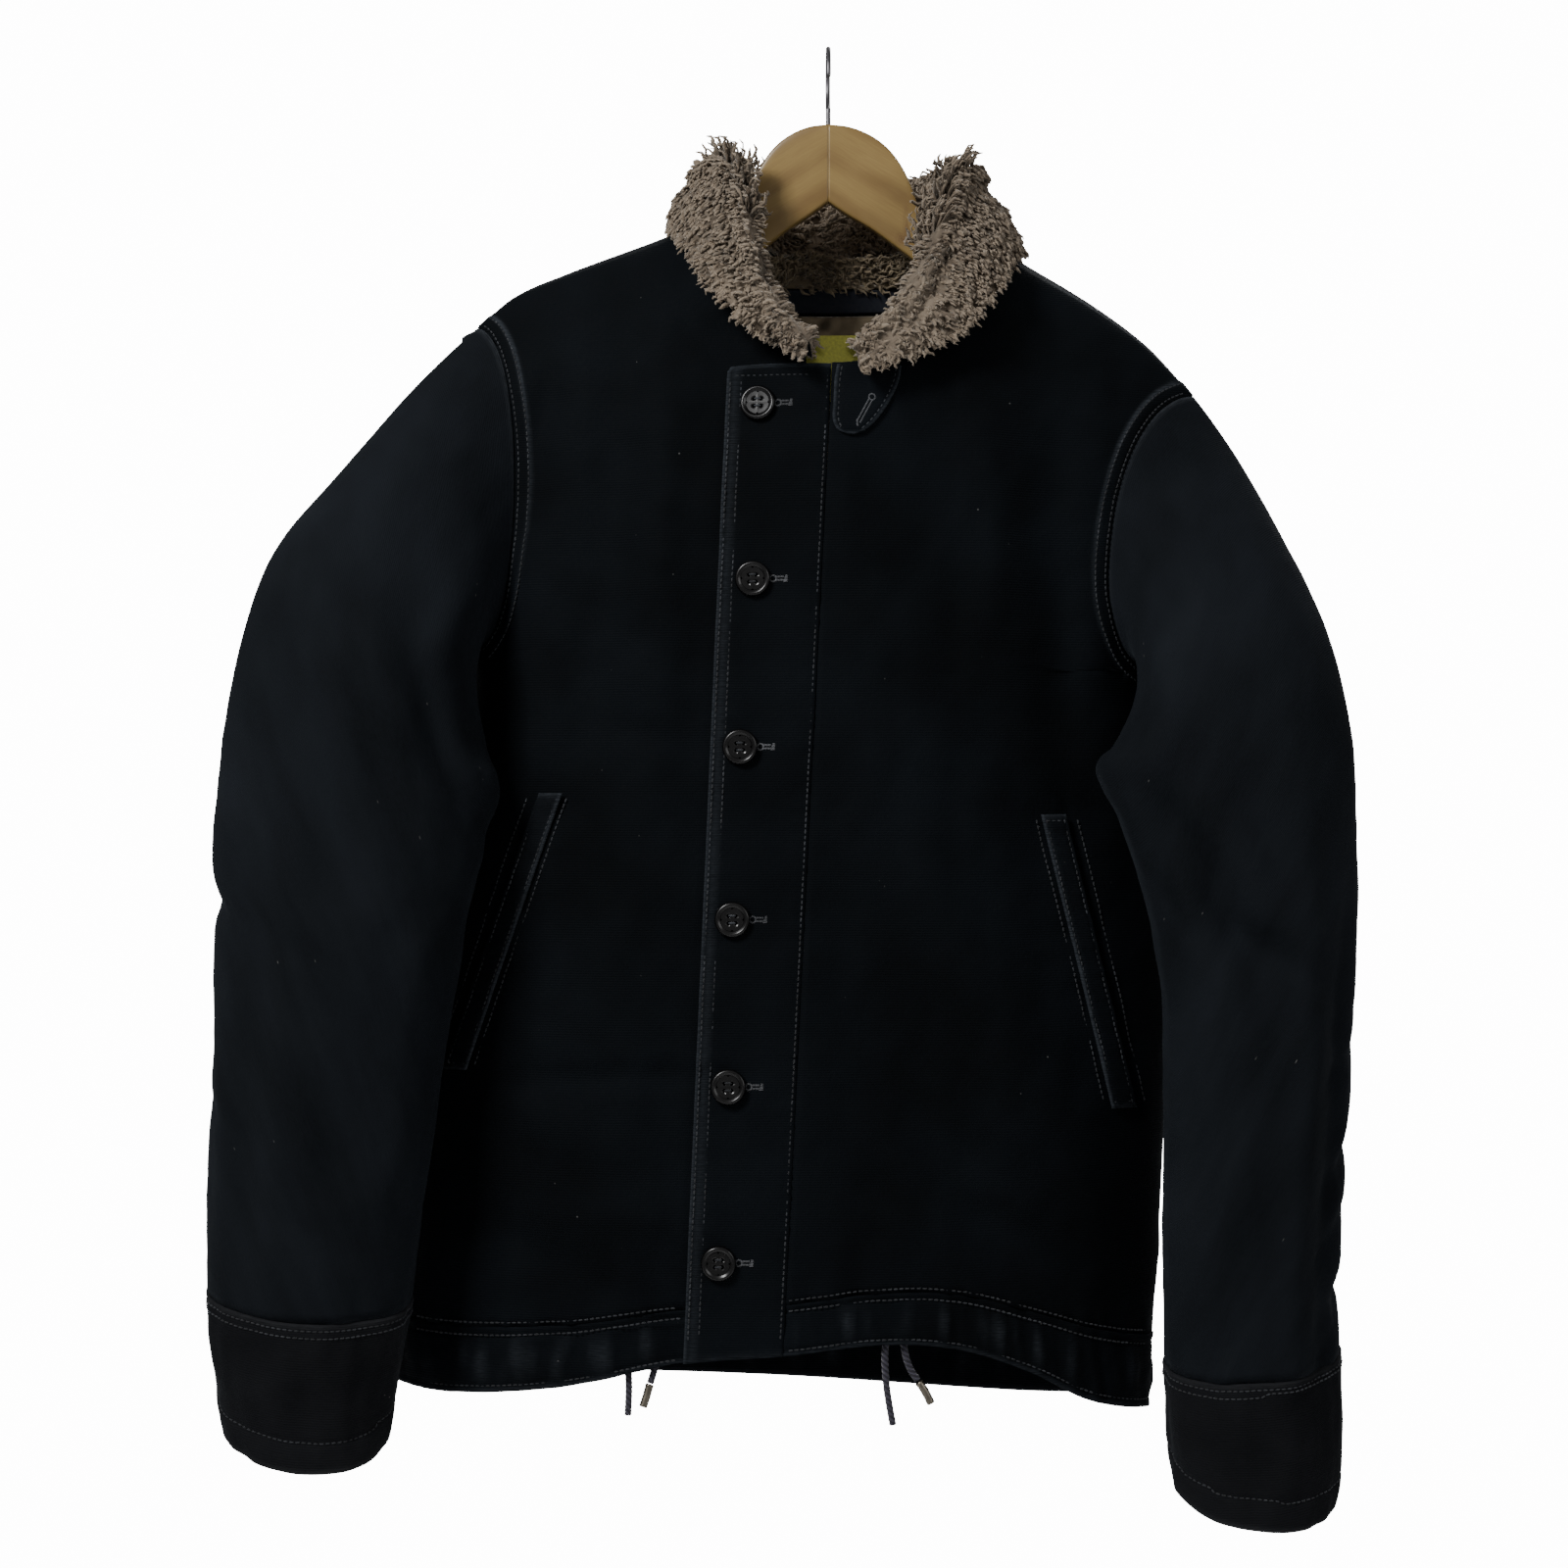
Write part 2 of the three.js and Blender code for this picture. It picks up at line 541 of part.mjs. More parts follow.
// The neckline's edge: share 0 is its middle, 1 is the shoulder, and below 0 is past the middle.
function necklinePoint(side, share, lowZ) {
  const angle = radians(90 * (1 - Math.abs(share)));
  const power = 2 / NECK.power;
  const x = NECK.x + Math.sign(share) * side * NECK.half * Math.cos(angle) ** power;
  return { x, z: mix(shoulderZ(NECK.x + side * NECK.half), lowZ, Math.sin(angle) ** power) };
}

// How far along the neckline a line down the front meets it.
function neckShare(side, line) {
  let [low, high] = [-1, 1];
  for (let i = 0; i < 30; i++) {
    const share = (low + high) / 2;
    const point = necklinePoint(side, share, NECK.frontZ);
    if (side * (point.x - line(point.z)) < 0) low = share;
    else high = share;
  }
  return high;
}

// Places x across a level section so that the turn at the side is drawn as finely as the front.
function spreadX(share, fromX, toX, z) {
  const { centre, half } = read(BODY, "z", z);
  const reach = Math.max(half, Math.abs(fromX - centre), Math.abs(toX - centre));
  const angle = (x) => Math.asin((x - centre) / reach);
  return centre + reach * Math.sin(mix(angle(fromX), angle(toX), share));
}

// A front panel's rows run from its centre edge to the side seam, and above the pit to the armhole.
function frontGrid(name, line, columns) {
  const { side, pitZ, tipX } = ARMHOLE[name];
  const meet = neckShare(side, line);
  const meetZ = necklinePoint(side, meet, NECK.frontZ).z;
  const neck = necklinePoint(side, 1, NECK.frontZ);
  const tipZ = shoulderZ(tipX);
  const grid = [];
  for (let i = 0; i <= LOW_ROWS + HIGH_ROWS; i++) {
    const up = (i - LOW_ROWS) / HIGH_ROWS;
    const cells = Array.from({ length: columns }, (_, j) => j / (columns - 1));
    if (up <= 0) {
      grid.push(cells.map((share) => {
        const seam = read(HEM_FRONT, "x", spreadX(share, line(SEAM_Z), sideX(SEAM_Z, side), SEAM_Z)).seam;
        const z = mix(seam + SEAM_GAP / 2, pitZ, i / LOW_ROWS);
        const x = spreadX(share, line(z), sideX(z, side), z);
        return bodyPoint(x, z, -1);
      }));
      continue;
    }
    const arm = armholePoint(name, 180 * (1 - up));
    const neckUp = (up - 0.5) / 0.5;
    const level = mix(pitZ, meetZ, up / 0.5);
    const below = { x: line(level), z: level };
    const centre = neckUp < 0 ? below : necklinePoint(side, mix(meet, 1, neckUp), NECK.frontZ);
    grid.push(cells.map((share) => {
      const x = spreadX(share, centre.x, arm.x, arm.z);
      const part = (x - centre.x) / (arm.x - centre.x);
      const beyond = (x - neck.x) / (tipX - neck.x);
      const arch = beyond > 0 && share < 1 ? (shoulderZ(x) - mix(neck.z, tipZ, beyond)) * up ** 2 : 0;
      const z = up === 1 ? shoulderZ(x) : mix(centre.z, arm.z, part) + arch;
      return bodyPoint(x, Math.min(z, shoulderZ(x)), -1);
    }));
  }
  return grid;
}

function placketGrid() {
  const rows = LOW_ROWS + HIGH_ROWS;
  return Array.from({ length: rows + 1 }, (_, i) =>
    Array.from({ length: PLACKET_COLUMNS }, (_, j) => {
      const across = j / (PLACKET_COLUMNS - 1);
      const foot = read(HEM_FRONT, "x", mix(edgeX(-750), seamX(-750), across)).edge;
      const top = mix(-193, -190.5, ease(across * 3));
      const z = mix(foot, top, i / rows);
      return bodyPoint(mix(edgeX(z), seamX(z) - SEAM_GAP / 2, across), z, -1);
    }),
  );
}

// The hem band below its seam, between two lines, with its points at the same shares as the panel above it.
function bandGrid(face, table, fromX, toX, shares) {
  return Array.from({ length: BAND_ROWS + 1 }, (_, i) =>
    shares.map((share) => {
      const row = read(table, "x", spreadX(share, fromX(SEAM_Z), toX(SEAM_Z), SEAM_Z));
      const z = mix(row.edge, row.seam - SEAM_GAP / 2, i / BAND_ROWS);
      return bodyPoint(spreadX(share, fromX(z), toX(z), z), z, face);
    }),
  );
}

// The back's top edge is the shoulder line, and the neckline between its two ends.
function backTopZ(x) {
  const reach = Math.abs(x - NECK.x) / NECK.half;
  if (reach >= 1) return shoulderZ(x);
  const top = shoulderZ(NECK.x + Math.sign(x - NECK.x) * NECK.half);
  return mix(top, NECK.backZ, (1 - reach ** NECK.power) ** (1 / NECK.power));
}

// The back's columns are placed so that two of them end at the neck points.
function backColumns() {
  const [neckR, neckL] = [NECK.x - NECK.half, NECK.x + NECK.half];
  const tips = [ARMHOLE.right.tipX, ARMHOLE.left.tipX];
  const spread = (from, to, count) => Array.from({ length: count }, (_, i) => mix(from, to, i / count));
  const topX = [
    ...spread(tips[0], neckR, 6),
    ...spread(neckR, neckL, 8),
    ...spread(neckL, tips[1], 6),
    tips[1],
  ];
  const section = read(BODY, "z", shoulderZ(tips[1]));
  const angles = topX.map((x) => Math.asin((x - section.centre) / section.half));
  const [first, last] = [angles[0], angles[angles.length - 1]];
  return { topX, shares: angles.map((angle) => (angle - first) / (last - first)) };
}

function backGrid() {
  const { right, left } = ARMHOLE;
  const [tipR, tipL] = [right, left].map((hole) => ({ x: hole.tipX, z: shoulderZ(hole.tipX) }));
  const { topX, shares } = backColumns();
  const grid = [];
  for (let i = 0; i <= LOW_ROWS + HIGH_ROWS; i++) {
    const up = (i - LOW_ROWS) / HIGH_ROWS;
    if (up <= 0) {
      grid.push(shares.map((share) => {
        const seam = read(HEM_BACK, "x", spreadX(share, sideX(SEAM_Z, -1), sideX(SEAM_Z, 1), SEAM_Z)).seam;
        const z = mix(seam + SEAM_GAP / 2, mix(right.pitZ, left.pitZ, share), i / LOW_ROWS);
        return bodyPoint(spreadX(share, sideX(z, -1), sideX(z, 1), z), z, 1);
      }));
      continue;
    }
    const [a, b] = ["right", "left"].map((name) => armholePoint(name, 180 * (1 + up)));
    grid.push(shares.map((share, j) => {
      const between = (a.z + b.z) / 2;
      const x = spreadX(share, a.x, b.x, between) + up * (topX[j] - spreadX(share, tipR.x, tipL.x, between));
      const level = mix(a.z, b.z, (x - a.x) / (b.x - a.x));
      const straight = mix(tipR.z, tipL.z, (x - tipR.x) / (tipL.x - tipR.x));
      const inside = j > 0 && j < shares.length - 1;
      return bodyPoint(x, inside ? level + (backTopZ(x) - straight) * up ** 2.4 : level, 1);
    }));
  }
  return grid;
}

// Keeps a panel's inner points in the planes of its seams, and on its own side of the shoulder line. edges
// lists the armhole columns, and straight is true where the first column is an edge down the front.
function pinPanel(face, edges, straight) {
  return (inner, outer) => {
    const last = outer.length - 1;
    outer.forEach((row, i) => {
      row.forEach((point, j) => {
        const own = inner[i][j];
        if (i === 0) own.z = point.z;
        if (i > LOW_ROWS) own.y = face * Math.max(face * own.y, Math.min(face * point.y, SEAM_GAP / 2));
        if (i === last) own.y = point.y;
      });
      if (straight) inner[i][0].x = row[0].x;
      const up = (i - LOW_ROWS) / HIGH_ROWS;
      for (const [name, j] of edges) {
        const inward = armholeNormal(name, 180 * (1 + face * Math.max(up, 0))).multiplyScalar(-CLOTH);
        if (up < 0) inner[i][j].y = row[j].y;
        else inner[i][j] = row[j].clone().add(inward);
      }
    });
  };
}

const movedBack = (grid, distance) => grid.map((row) => row.map((p) => vector(p.x, p.y + distance(p), p.z)));
const apart = (grid, face) => movedBack(grid, () => (face * SEAM_GAP) / 2);
const sunk = (grid) => movedBack(grid, (p) => underlapSink(p.x, p.z));

// Keeps a hem band's inner points level, and its ends in the plane of the side seam or of the front's edge.
function pinBand(inner, outer) {
  const end = outer[0].length - 1;
  outer.forEach((row, i) => {
    row.forEach((point, j) => {
      const own = inner[i][j];
      const atSide = Math.abs(point.x) > 150;
      own.z = point.z;
      if (j !== 0 && j !== end) return;
      if (atSide) own.y = point.y;
      else own.x = point.x;
    });
  });
}

// Keeps the placket's inner points below its outer ones, and its lower edge level.
function pinPlacket(inner, outer) {
  outer.forEach((row, i) => row.forEach((point, j) => {
    inner[i][j].x = point.x;
    if (i === 0) inner[i][j].z = point.z;
  }));
}

// Sleeves

const RING_SIDES = 2 * HIGH_ROWS; // so that each point meets one on the armhole

const EVEN_SHARES = [0, 1, 1, 1, 0.6, 0.3]; // how far the underarm of each ring from the armhole is evened out
const EVEN_PASSES = 30;

const middleOf = (ring) => ring.reduce((sum, p) => sum.add(p), vector(0, 0, 0)).divideScalar(ring.length);

// The ring of an armhole, and the same ring moved off the body's edge.
function armholeRings(name) {
  const turns = Array.from({ length: RING_SIDES }, (_, j) => (360 * j) / RING_SIDES);
  const points = turns.map((turn) => armholePoint(name, turn));
  const outer = points.map((point, j) => {
    const along = points[(j + 1) % RING_SIDES].clone().sub(points[(j + RING_SIDES - 1) % RING_SIDES]);
    const off = along.cross(armholeNormal(name, turns[j])).normalize();
    if (off.dot(vector(ARMHOLE[name].side, 0, 0)) < 0) off.negate();
    return point.clone().addScaledVector(off, SEAM_GAP * 3);
  });
  return { outer, points };
}

function sleeveGrids(name) {
  const first = armholeRings(name);
  const { side } = ARMHOLE[name];
  const power = 2 / SLEEVE_POWER;
  const bend = (v) => Math.sign(v) * Math.abs(v) ** power;
  const plain = (row, turn) => {
    const [c, s] = [bend(Math.cos(radians(turn))), bend(Math.sin(radians(turn)))];
    return vector(
      mix(row.inX, row.outX, (1 + c) / 2),
      row.y - row.deep * s,
      mix(row.inZ, row.outZ, (1 + c) / 2) - row.drop * s,
    );
  };
  const [tip, pit] = [first.points[0], first.points[RING_SIDES / 2]];
  const start = {
    outX: tip.x,
    outZ: tip.z,
    inX: pit.x,
    inZ: pit.z,
    y: (tip.y + pit.y) / 2,
    deep: 56,
    drop: 0,
  };
  let down = 0;
  let before = vector(mix(start.inX, start.outX, 0.5), 0, mix(start.inZ, start.outZ, 0.5));
  const rings = SLEEVE[name].map((row) => {
    const centre = vector(mix(row.inX, row.outX, 0.5), 0, mix(row.inZ, row.outZ, 0.5));
    down += centre.distanceTo(before);
    before = centre;
    return Array.from({ length: RING_SIDES }, (_, j) => {
      const turn = (360 * j) / RING_SIDES;
      const own = first.points[j].clone().sub(plain(start, turn));
      const point = plain(row, turn).addScaledVector(own, row.hole);
      const radial = vector(side * Math.cos(radians(turn)), -Math.sin(radians(turn)), 0);
      const height = creaseHeight(SLEEVE_CREASES[name], (crease) => {
        const apartBy = ((((turn - crease.turn + 180) % 360) + 360) % 360) - 180;
        return [apartBy * 1.1, crease.down - down];
      });
      point.addScaledVector(radial, height * (1 - row.hole));
      return clearOfBody(point, spaceAt(row));
    });
  });
  rings.unshift(first.outer);
  const outer = evenUnderarm(name, rings);
  const inner = outer.map((ring, i) => {
    const middle = middleOf(rings[i]);
    const [above, below] = [outer[Math.max(i - 1, 0)], outer[Math.min(i + 1, outer.length - 1)]];
    return ring.map((point, j) => {
      const across = ring[(j + 1) % RING_SIDES].clone().sub(ring[(j + RING_SIDES - 1) % RING_SIDES]);
      const normal = below[j].clone().sub(above[j]).cross(across).normalize();
      const toMiddle = middle.clone().sub(point).normalize();
      if (normal.dot(toMiddle) < 0) normal.negate();
      const turn = (360 * j) / RING_SIDES;
      const underarm = ease((120 - Math.abs(turn - 180)) / 40);
      toMiddle.z *= underarm;
      const other = i === 0 ? armholeNormal(name, turn).negate() : toMiddle.normalize();
      const inward = normal.multiplyScalar(0.5 * underarm).add(other).normalize();
      return point.clone().addScaledVector(inward, CLOTH);
    });
  });
  return { outer, inner };
}

const spaceAt = (row) => mix(SLEEVE_SPACE, CLOTH + 1.2, row.hole);

// Evens out the rings where the underarm leaves the pit, where they would crowd, and keeps them off the body.
function evenUnderarm(name, outer) {
  let rings = outer;
  for (let pass = 0; pass < EVEN_PASSES; pass += 1) {
    const from = rings;
    rings = from.map((ring, i) => {
      if (!EVEN_SHARES[i]) return ring;
      return ring.map((point, j) => {
        const share = 0.5 * EVEN_SHARES[i] * ease((80 - Math.abs((360 * j) / RING_SIDES - 190)) / 40);
        const around = from[i - 1][j].clone().add(from[i + 1][j]);
        around.add(ring[(j + 1) % RING_SIDES]).add(ring[(j + RING_SIDES - 1) % RING_SIDES]);
        const moved = point.clone().lerp(around.multiplyScalar(0.25), share);
        return share > 0 ? clearOfBody(moved, spaceAt(SLEEVE[name][i - 1])) : point;
      });
    });
  }
  return rings;
}

// Moves a point straight out from the middle of the body's level section until it is clear of the body.
function clearOfBody(point, space) {
  const seam = read(BODY, "z", point.z).seam;
  const section = bodySection(point.x, point.z, point.y > seam ? 1 : -1);
  const [across, deep] = [point.x - section.centre, point.y - section.seam];
  const wide = Math.abs(across) / (section.half + space);
  const far = Math.abs(deep) / (section.depth + section.raised + space);
  const share = Math.min(1, (wide ** PANEL_POWER + far ** PANEL_POWER) ** (1 / PANEL_POWER));
  return vector(section.centre + across / share, section.seam + deep / share, point.z);
}

function sleevePieces(name) {
  const { outer, inner } = sleeveGrids(name);
  const cut = outer.length - CUFF_RINGS;
  const lowered = (ring) => ring.map((p) => vector(p.x, p.y, p.z - SEAM_GAP));
  return {
    sleeve: wall(outer.slice(0, cut + 1), inner.slice(0, cut + 1), true),
    cuff: wall(
      [lowered(outer[cut]), ...outer.slice(cut + 1)],
      [lowered(inner[cut]), ...inner.slice(cut + 1)],
      true,
    ),
  };
}

// Collar

const COLLAR_ROWS = 29;

// The pile's face in one row: up from the neck seam, over the fold and down to the edge.
function collarRow(place) {
  const row = read(numbered(COLLAR), "place", place);
  const [neck, fold, edge] = [row.neck, row.fold, row.edge].map((point) => vector(...point));
  const up = fold.clone().sub(neck).normalize();
  const out = edge.clone().sub(neck);
  out.addScaledVector(up, -out.dot(up)).normalize();
  const round = Math.min(FOLD_ROUND, edge.distanceTo(fold) * 0.3);
  const at = (outward, upward) => {
    return fold.clone().addScaledVector(out, outward * round).addScaledVector(up, upward * round);
  };
  const fall = at(2, -1.1);
  return {
    share: round / FOLD_ROUND,
    line: [
      neck,
      neck.clone().lerp(at(0, -1.1), 0.5),
      at(0, -1.1),
      at(0.3, -0.35),
      at(1, 0),
      at(1.7, -0.35),
      fall,
      fall.clone().lerp(edge, 0.5).addScaledVector(up, round * 0.3),
      edge,
    ],
    across: up.clone().cross(out),
  };
}

// The collar's grid a layer below the pile's face, towards the inside of the fold.
function collarGrid(depth) {
  return Array.from({ length: COLLAR_ROWS }, (_, i) => {
    const { line, across, share } = collarRow((i / (COLLAR_ROWS - 1)) * (COLLAR.length - 1));
    return line.map((point, j) => {
      const along = line[Math.min(j + 1, line.length - 1)].clone().sub(line[Math.max(j - 1, 0)]);
      return point.clone().addScaledVector(across.clone().cross(along).normalize(), depth * share);
    });
  });
}

// The depth of a panel's own facets at a place seen from the front.
function facetY(face, x, z) {
  for (let i = 0; i < face.length - 1; i++) {
    for (let j = 0; j < face[0].length - 1; j++) {
      const corners = [face[i][j], face[i][j + 1], face[i + 1][j + 1], face[i + 1][j]];
      for (const [a, b, c] of [[0, 1, 2], [0, 2, 3]].map((three) => three.map((k) => corners[k]))) {
        const whole = (b.x - a.x) * (c.z - a.z) - (c.x - a.x) * (b.z - a.z);
        const shareB = ((x - a.x) * (c.z - a.z) - (c.x - a.x) * (z - a.z)) / whole;
        const shareC = ((b.x - a.x) * (z - a.z) - (x - a.x) * (b.z - a.z)) / whole;
        if (shareB >= -1e-6 && shareC >= -1e-6 && shareB + shareC <= 1 + 1e-6) {
          return a.y + shareB * (b.y - a.y) + shareC * (c.y - a.y);
        }
      }
    }
  }
  throw new Error(`no panel at ${x.toFixed(1)}, ${z.toFixed(1)}`);
}

// A piece that lies on a panel or lines its inside: places on the panel's facets moved off by two distances,
// which are above zero away from the body's middle.
function onFace(face, places, side, near, far) {
  const at = (distance) => places.map((line) => line.map(({ x, z }) => {
    return vector(x, facetY(face, x, z), z).addScaledVector(bodyNormal(x, z, side), distance);
  }));
  return wall(at(Math.max(near, far)), at(Math.min(near, far)));
}

const grid = (rows, columns, place) =>
  Array.from({ length: rows }, (_, i) =>
    Array.from({ length: columns }, (_, j) => place(j / (columns - 1), i / (rows - 1))));

function weltPlaces({ topX, topZ, endX, endZ, wide }) {
  return grid(9, 3, (across, along) => ({
    x: mix(topX, endX, along) + (across - 0.5) * wide,
    z: mix(topZ, endZ, along),
  }));
}

const tabPlaces = () =>
  grid(9, 7, (across, along) => {
    const row = read(numbered(TAB), "place", along * (TAB.length - 1));
    return { x: row.x + (across - 0.5) * 2 * row.half, z: row.z };
  });

// Buttons

function button({ x, z }) {
  const { across, thick, dish, hole, spread } = BUTTON;
  const { cylinder } = wasm.Manifold;
  let body = cylinder(thick, across / 2, across / 2 - 0.7, 26);
  body = body.subtract(cylinder(thick, dish / 2, dish / 2 + 0.8, 18).translate([0, 0, thick - 1]));
  for (const turn of [45, 135, 225, 315]) {
    const place = [spread * Math.cos(radians(turn)), spread * Math.sin(radians(turn)), -1];
    body = body.subtract(cylinder(thick + 2, hole / 2, hole / 2, 6).translate(place));
  }
  const geometry = toGeometry(body);
  const normal = bodyNormal(x, z, -1);
  const middle = vector(x, facetY(faces.placket, x, z), z);
  const rises = [0, 60, 120, 180, 240, 300].map((turn) => {
    const rimX = x + (Math.cos(radians(turn)) * across) / 2;
    const rimZ = z + (Math.sin(radians(turn)) * across) / 2;
    return vector(rimX, facetY(faces.placket, rimX, rimZ), rimZ).sub(middle).dot(normal);
  });
  const foot = middle.clone().addScaledVector(normal, Math.max(0, ...rises) + SEAM_GAP);
  geometry.applyQuaternion(new THREE.Quaternion().setFromUnitVectors(vector(0, 0, 1), normal));
  return geometry.translate(foot.x, foot.y, foot.z);
}

// Hanger

const bluntly = (v) => Math.sign(v) * Math.abs(v) ** 0.5; // squares the board's section

function hangerHalf(name) {
  const { side } = ARMHOLE[name];
  const end = ARM.end[name] * side;
  const crown = CROWN.map((row) => ({ ...row, x: row.x * CROWN_WIDTH[name] }));
  const crownEnd = crown[crown.length - 1].x;
  const near = [SEAM_GAP / 2, 6, 12, 18, 24, 30, 36, 42, 46, 50, 54, 58];
  const stations = [...near, 66, 80, 100, 125, 150, 170, end - 6, end - 1.5, end];
  const rings = stations.map((x) => {
    let top;
    let low;
    const armTop = shoulderZ(side * x) - ARM.below;
    const armLow = armTop - mix(ARM.deepAtNeck, ARM.deepAtEnd, ease((x - crownEnd) / (end - crownEnd)));
    if (x <= crownEnd) ({ top, low } = read(crown, "x", x));
    else {
      const row = crown[crown.length - 1];
      const settle = ease((x - crownEnd) / 40);
      const drop = (x - crownEnd) * 0.55;
      top = Math.min(mix(row.top - drop, armTop, settle), armTop);
      low = mix(row.low - drop, armLow, settle);
    }
    const narrow = x > end - 8 ? mix(1, 0.55, (x - end + 8) / 8) : 1;
    const half = ((top - low) / 2) * narrow;
    return Array.from({ length: 12 }, (_, j) => {
      const angle = radians(30 * j + 15);
      const y = (WOOD / 2) * narrow * bluntly(Math.cos(angle)) * 0.98;
      return vector(side * x, y, (top + low) / 2 + half * bluntly(Math.sin(angle)));
    });
  });
  const bore = WIRE / 2 + SEAM_GAP;
  const shank = wasm.Manifold.cylinder(40, bore, bore, 12).translate([0, 0, -70 - SEAM_GAP]);
  return toGeometry(toManifold(bar(rings)).subtract(shank));
}

function hook() {
  const radius = HOOK_INSIDE + WIRE / 2;
  const path = [vector(0, 0, -70), vector(0, 0, -58), vector(0, 0, -44)];
  for (let turn = -90; turn <= 188; turn += 13.9) {
    path.push(vector(0, radius * Math.cos(radians(turn)), -HOOK_INSIDE + radius * Math.sin(radians(turn))));
  }
  return roundBar(path, WIRE / 2, 10);
}

// Drawcord pieces hang inside the hem band and below it. Each point of a path is X, how far behind the body's
// outer face it lies, and Z.
const cordPath = (rows) =>
  rows.map(([x, behind, z]) => vector(x, bodyY(x, Math.max(z, -745), -1) + behind, z));
const CORD_ENDS = {
  drawcord_right_end: [[-94, 9.2, -730], [-96, 9.2, -745], [-98.5, 9, -755], [-101, 8, -763]],
  drawcord_right_tip: [[-101.2, 7.9, -763.5], [-103, 7, -770], [-105, 6, -776]],
  drawcord_right_loop: [[-113, 7.3, -735], [-113.5, 7.3, -750], [-113, 8, -765], [-113.5, 7, -781]],
  drawcord_left_loop: [[34, 5.4, -732], [31, 5.4, -744], [32, 6, -765], [35.5, 5.5, -786]],
  drawcord_left_end: [[40.5, 5.4, -730], [42, 5.4, -744], [45, 6, -754], [49.5, 5, -761]],
  drawcord_left_tip: [[50, 4.8, -761.8], [53.5, 4.4, -767], [57, 4, -774]],
};

// Assembly

const materials = {};
for (const [name, [color, roughness, metalness]] of Object.entries(COLOURS)) {
  materials[name] = new THREE.MeshStandardMaterial({ color, roughness, metalness });
  materials[name].name = name;
}
const part = new THREE.Group();
part.name = "deck_jacket";

function add(name, geometry, material) {
  const mesh = new THREE.Mesh(geometry, materials[material]);
  mesh.name = name;
  part.add(mesh);
}

function panel(outer, pin) {
  return wall(outer, movedIn(outer, CLOTH, bodyMiddle, pin));
}

const leftSeam = (z) => seamX(z) + SEAM_GAP / 2;
const sideR = (z) => sideX(z, -1);
const sideL = (z) => sideX(z, 1);
const evenShares = Array.from({ length: FRONT_COLUMNS }, (_, j) => j / (FRONT_COLUMNS - 1));
const bandR = sunk(bandGrid(-1, HEM_FRONT, underlapX, sideR, evenShares));
const bandL = bandGrid(-1, HEM_FRONT, leftSeam, sideL, evenShares);
const bandBack = bandGrid(1, HEM_BACK, sideR, sideL, backColumns().shares);
const arm = FRONT_COLUMNS - 1;
const faces = {
  right: apart(sunk(frontGrid("right", underlapX, FRONT_COLUMNS)), -1),
  left: apart(frontGrid("left", leftSeam, FRONT_COLUMNS), -1),
  back: apart(backGrid(), 1),
  placket: placketGrid(),
};
const backEdges = [["right", 0], ["left", faces.back[0].length - 1]];
const backInner = movedIn(faces.back, CLOTH, bodyMiddle, pinPanel(1, backEdges, false));
add("front_right", panel(faces.right, pinPanel(-1, [["right", arm]], true)), "cloth");
add("front_left", panel(faces.left, pinPanel(-1, [["left", arm]], true)), "cloth");
add("placket", panel(faces.placket, pinPlacket), "cloth");
add("back", wall(faces.back, backInner), "cloth");
add("hem_right", panel(apart(bandR, -1), pinBand), "cuff");
add("hem_left", panel(apart(bandL, -1), pinBand), "cuff");
add("hem_back", panel(apart(bandBack, 1), pinBand), "cuff");
for (const name of ["right", "left"]) {
  const { sleeve, cuff } = sleevePieces(name);
  add(`sleeve_${name}`, sleeve, "cloth");
  add(`cuff_${name}`, cuff, "cuff");
}
add("collar", wall(collarGrid(0), collarGrid(PILE)), "pile");
add("under_collar", wall(collarGrid(PILE + SEAM_GAP), collarGrid(PILE + SEAM_GAP + UNDER_COLLAR)), "cloth");
const lining = grid(6, 11, (u, v) => ({ x: mix(-72, 84, u), z: mix(-232, -146, v) }));
const tape = grid(3, 9, (u, v) => ({ x: mix(-52, 62, u), z: mix(-144, -131, v) }));
const label = grid(3, 5, (u, v) => ({ x: mix(-26, 38, u), z: mix(-194, -156, v) }));
add("neck_lining", onFace(backInner, lining, 1, -1, -5), "lining");
add("neck_tape", onFace(backInner, tape, 1, -1, -2.6), "tape");
add("label", onFace(backInner, label, 1, -6, -6.9), "label");
add("throat_tab", onFace(faces.left, tabPlaces(), -1, 0.8, 2.8), "cloth");
for (const name of ["right", "left"]) {
  add(`welt_${name}`, onFace(faces[name], weltPlaces(WELTS[name]), -1, 0.8, 2.8), "cuff");
}
BUTTONS.forEach((place, i) => add(`button_${i + 1}`, button(place), "button"));
for (const name of ["right", "left"]) add(`hanger_${name}`, hangerHalf(name), "wood");
add("hook", hook(), "wire");
for (const [name, rows] of Object.entries(CORD_ENDS)) {
  const tip = name.endsWith("tip");
  add(name, roundBar(cordPath(rows), tip ? 2.3 : CORD / 2, 8), tip ? "tip" : "cord");
}

export default part;
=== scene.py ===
# A deck jacket on a wooden hanger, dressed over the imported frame. Sizes are in millimetres, in the part's own
# axes: +Z up, the front faces -Y, and X grows to the wearer's left. Meshes are made in metres.
import math

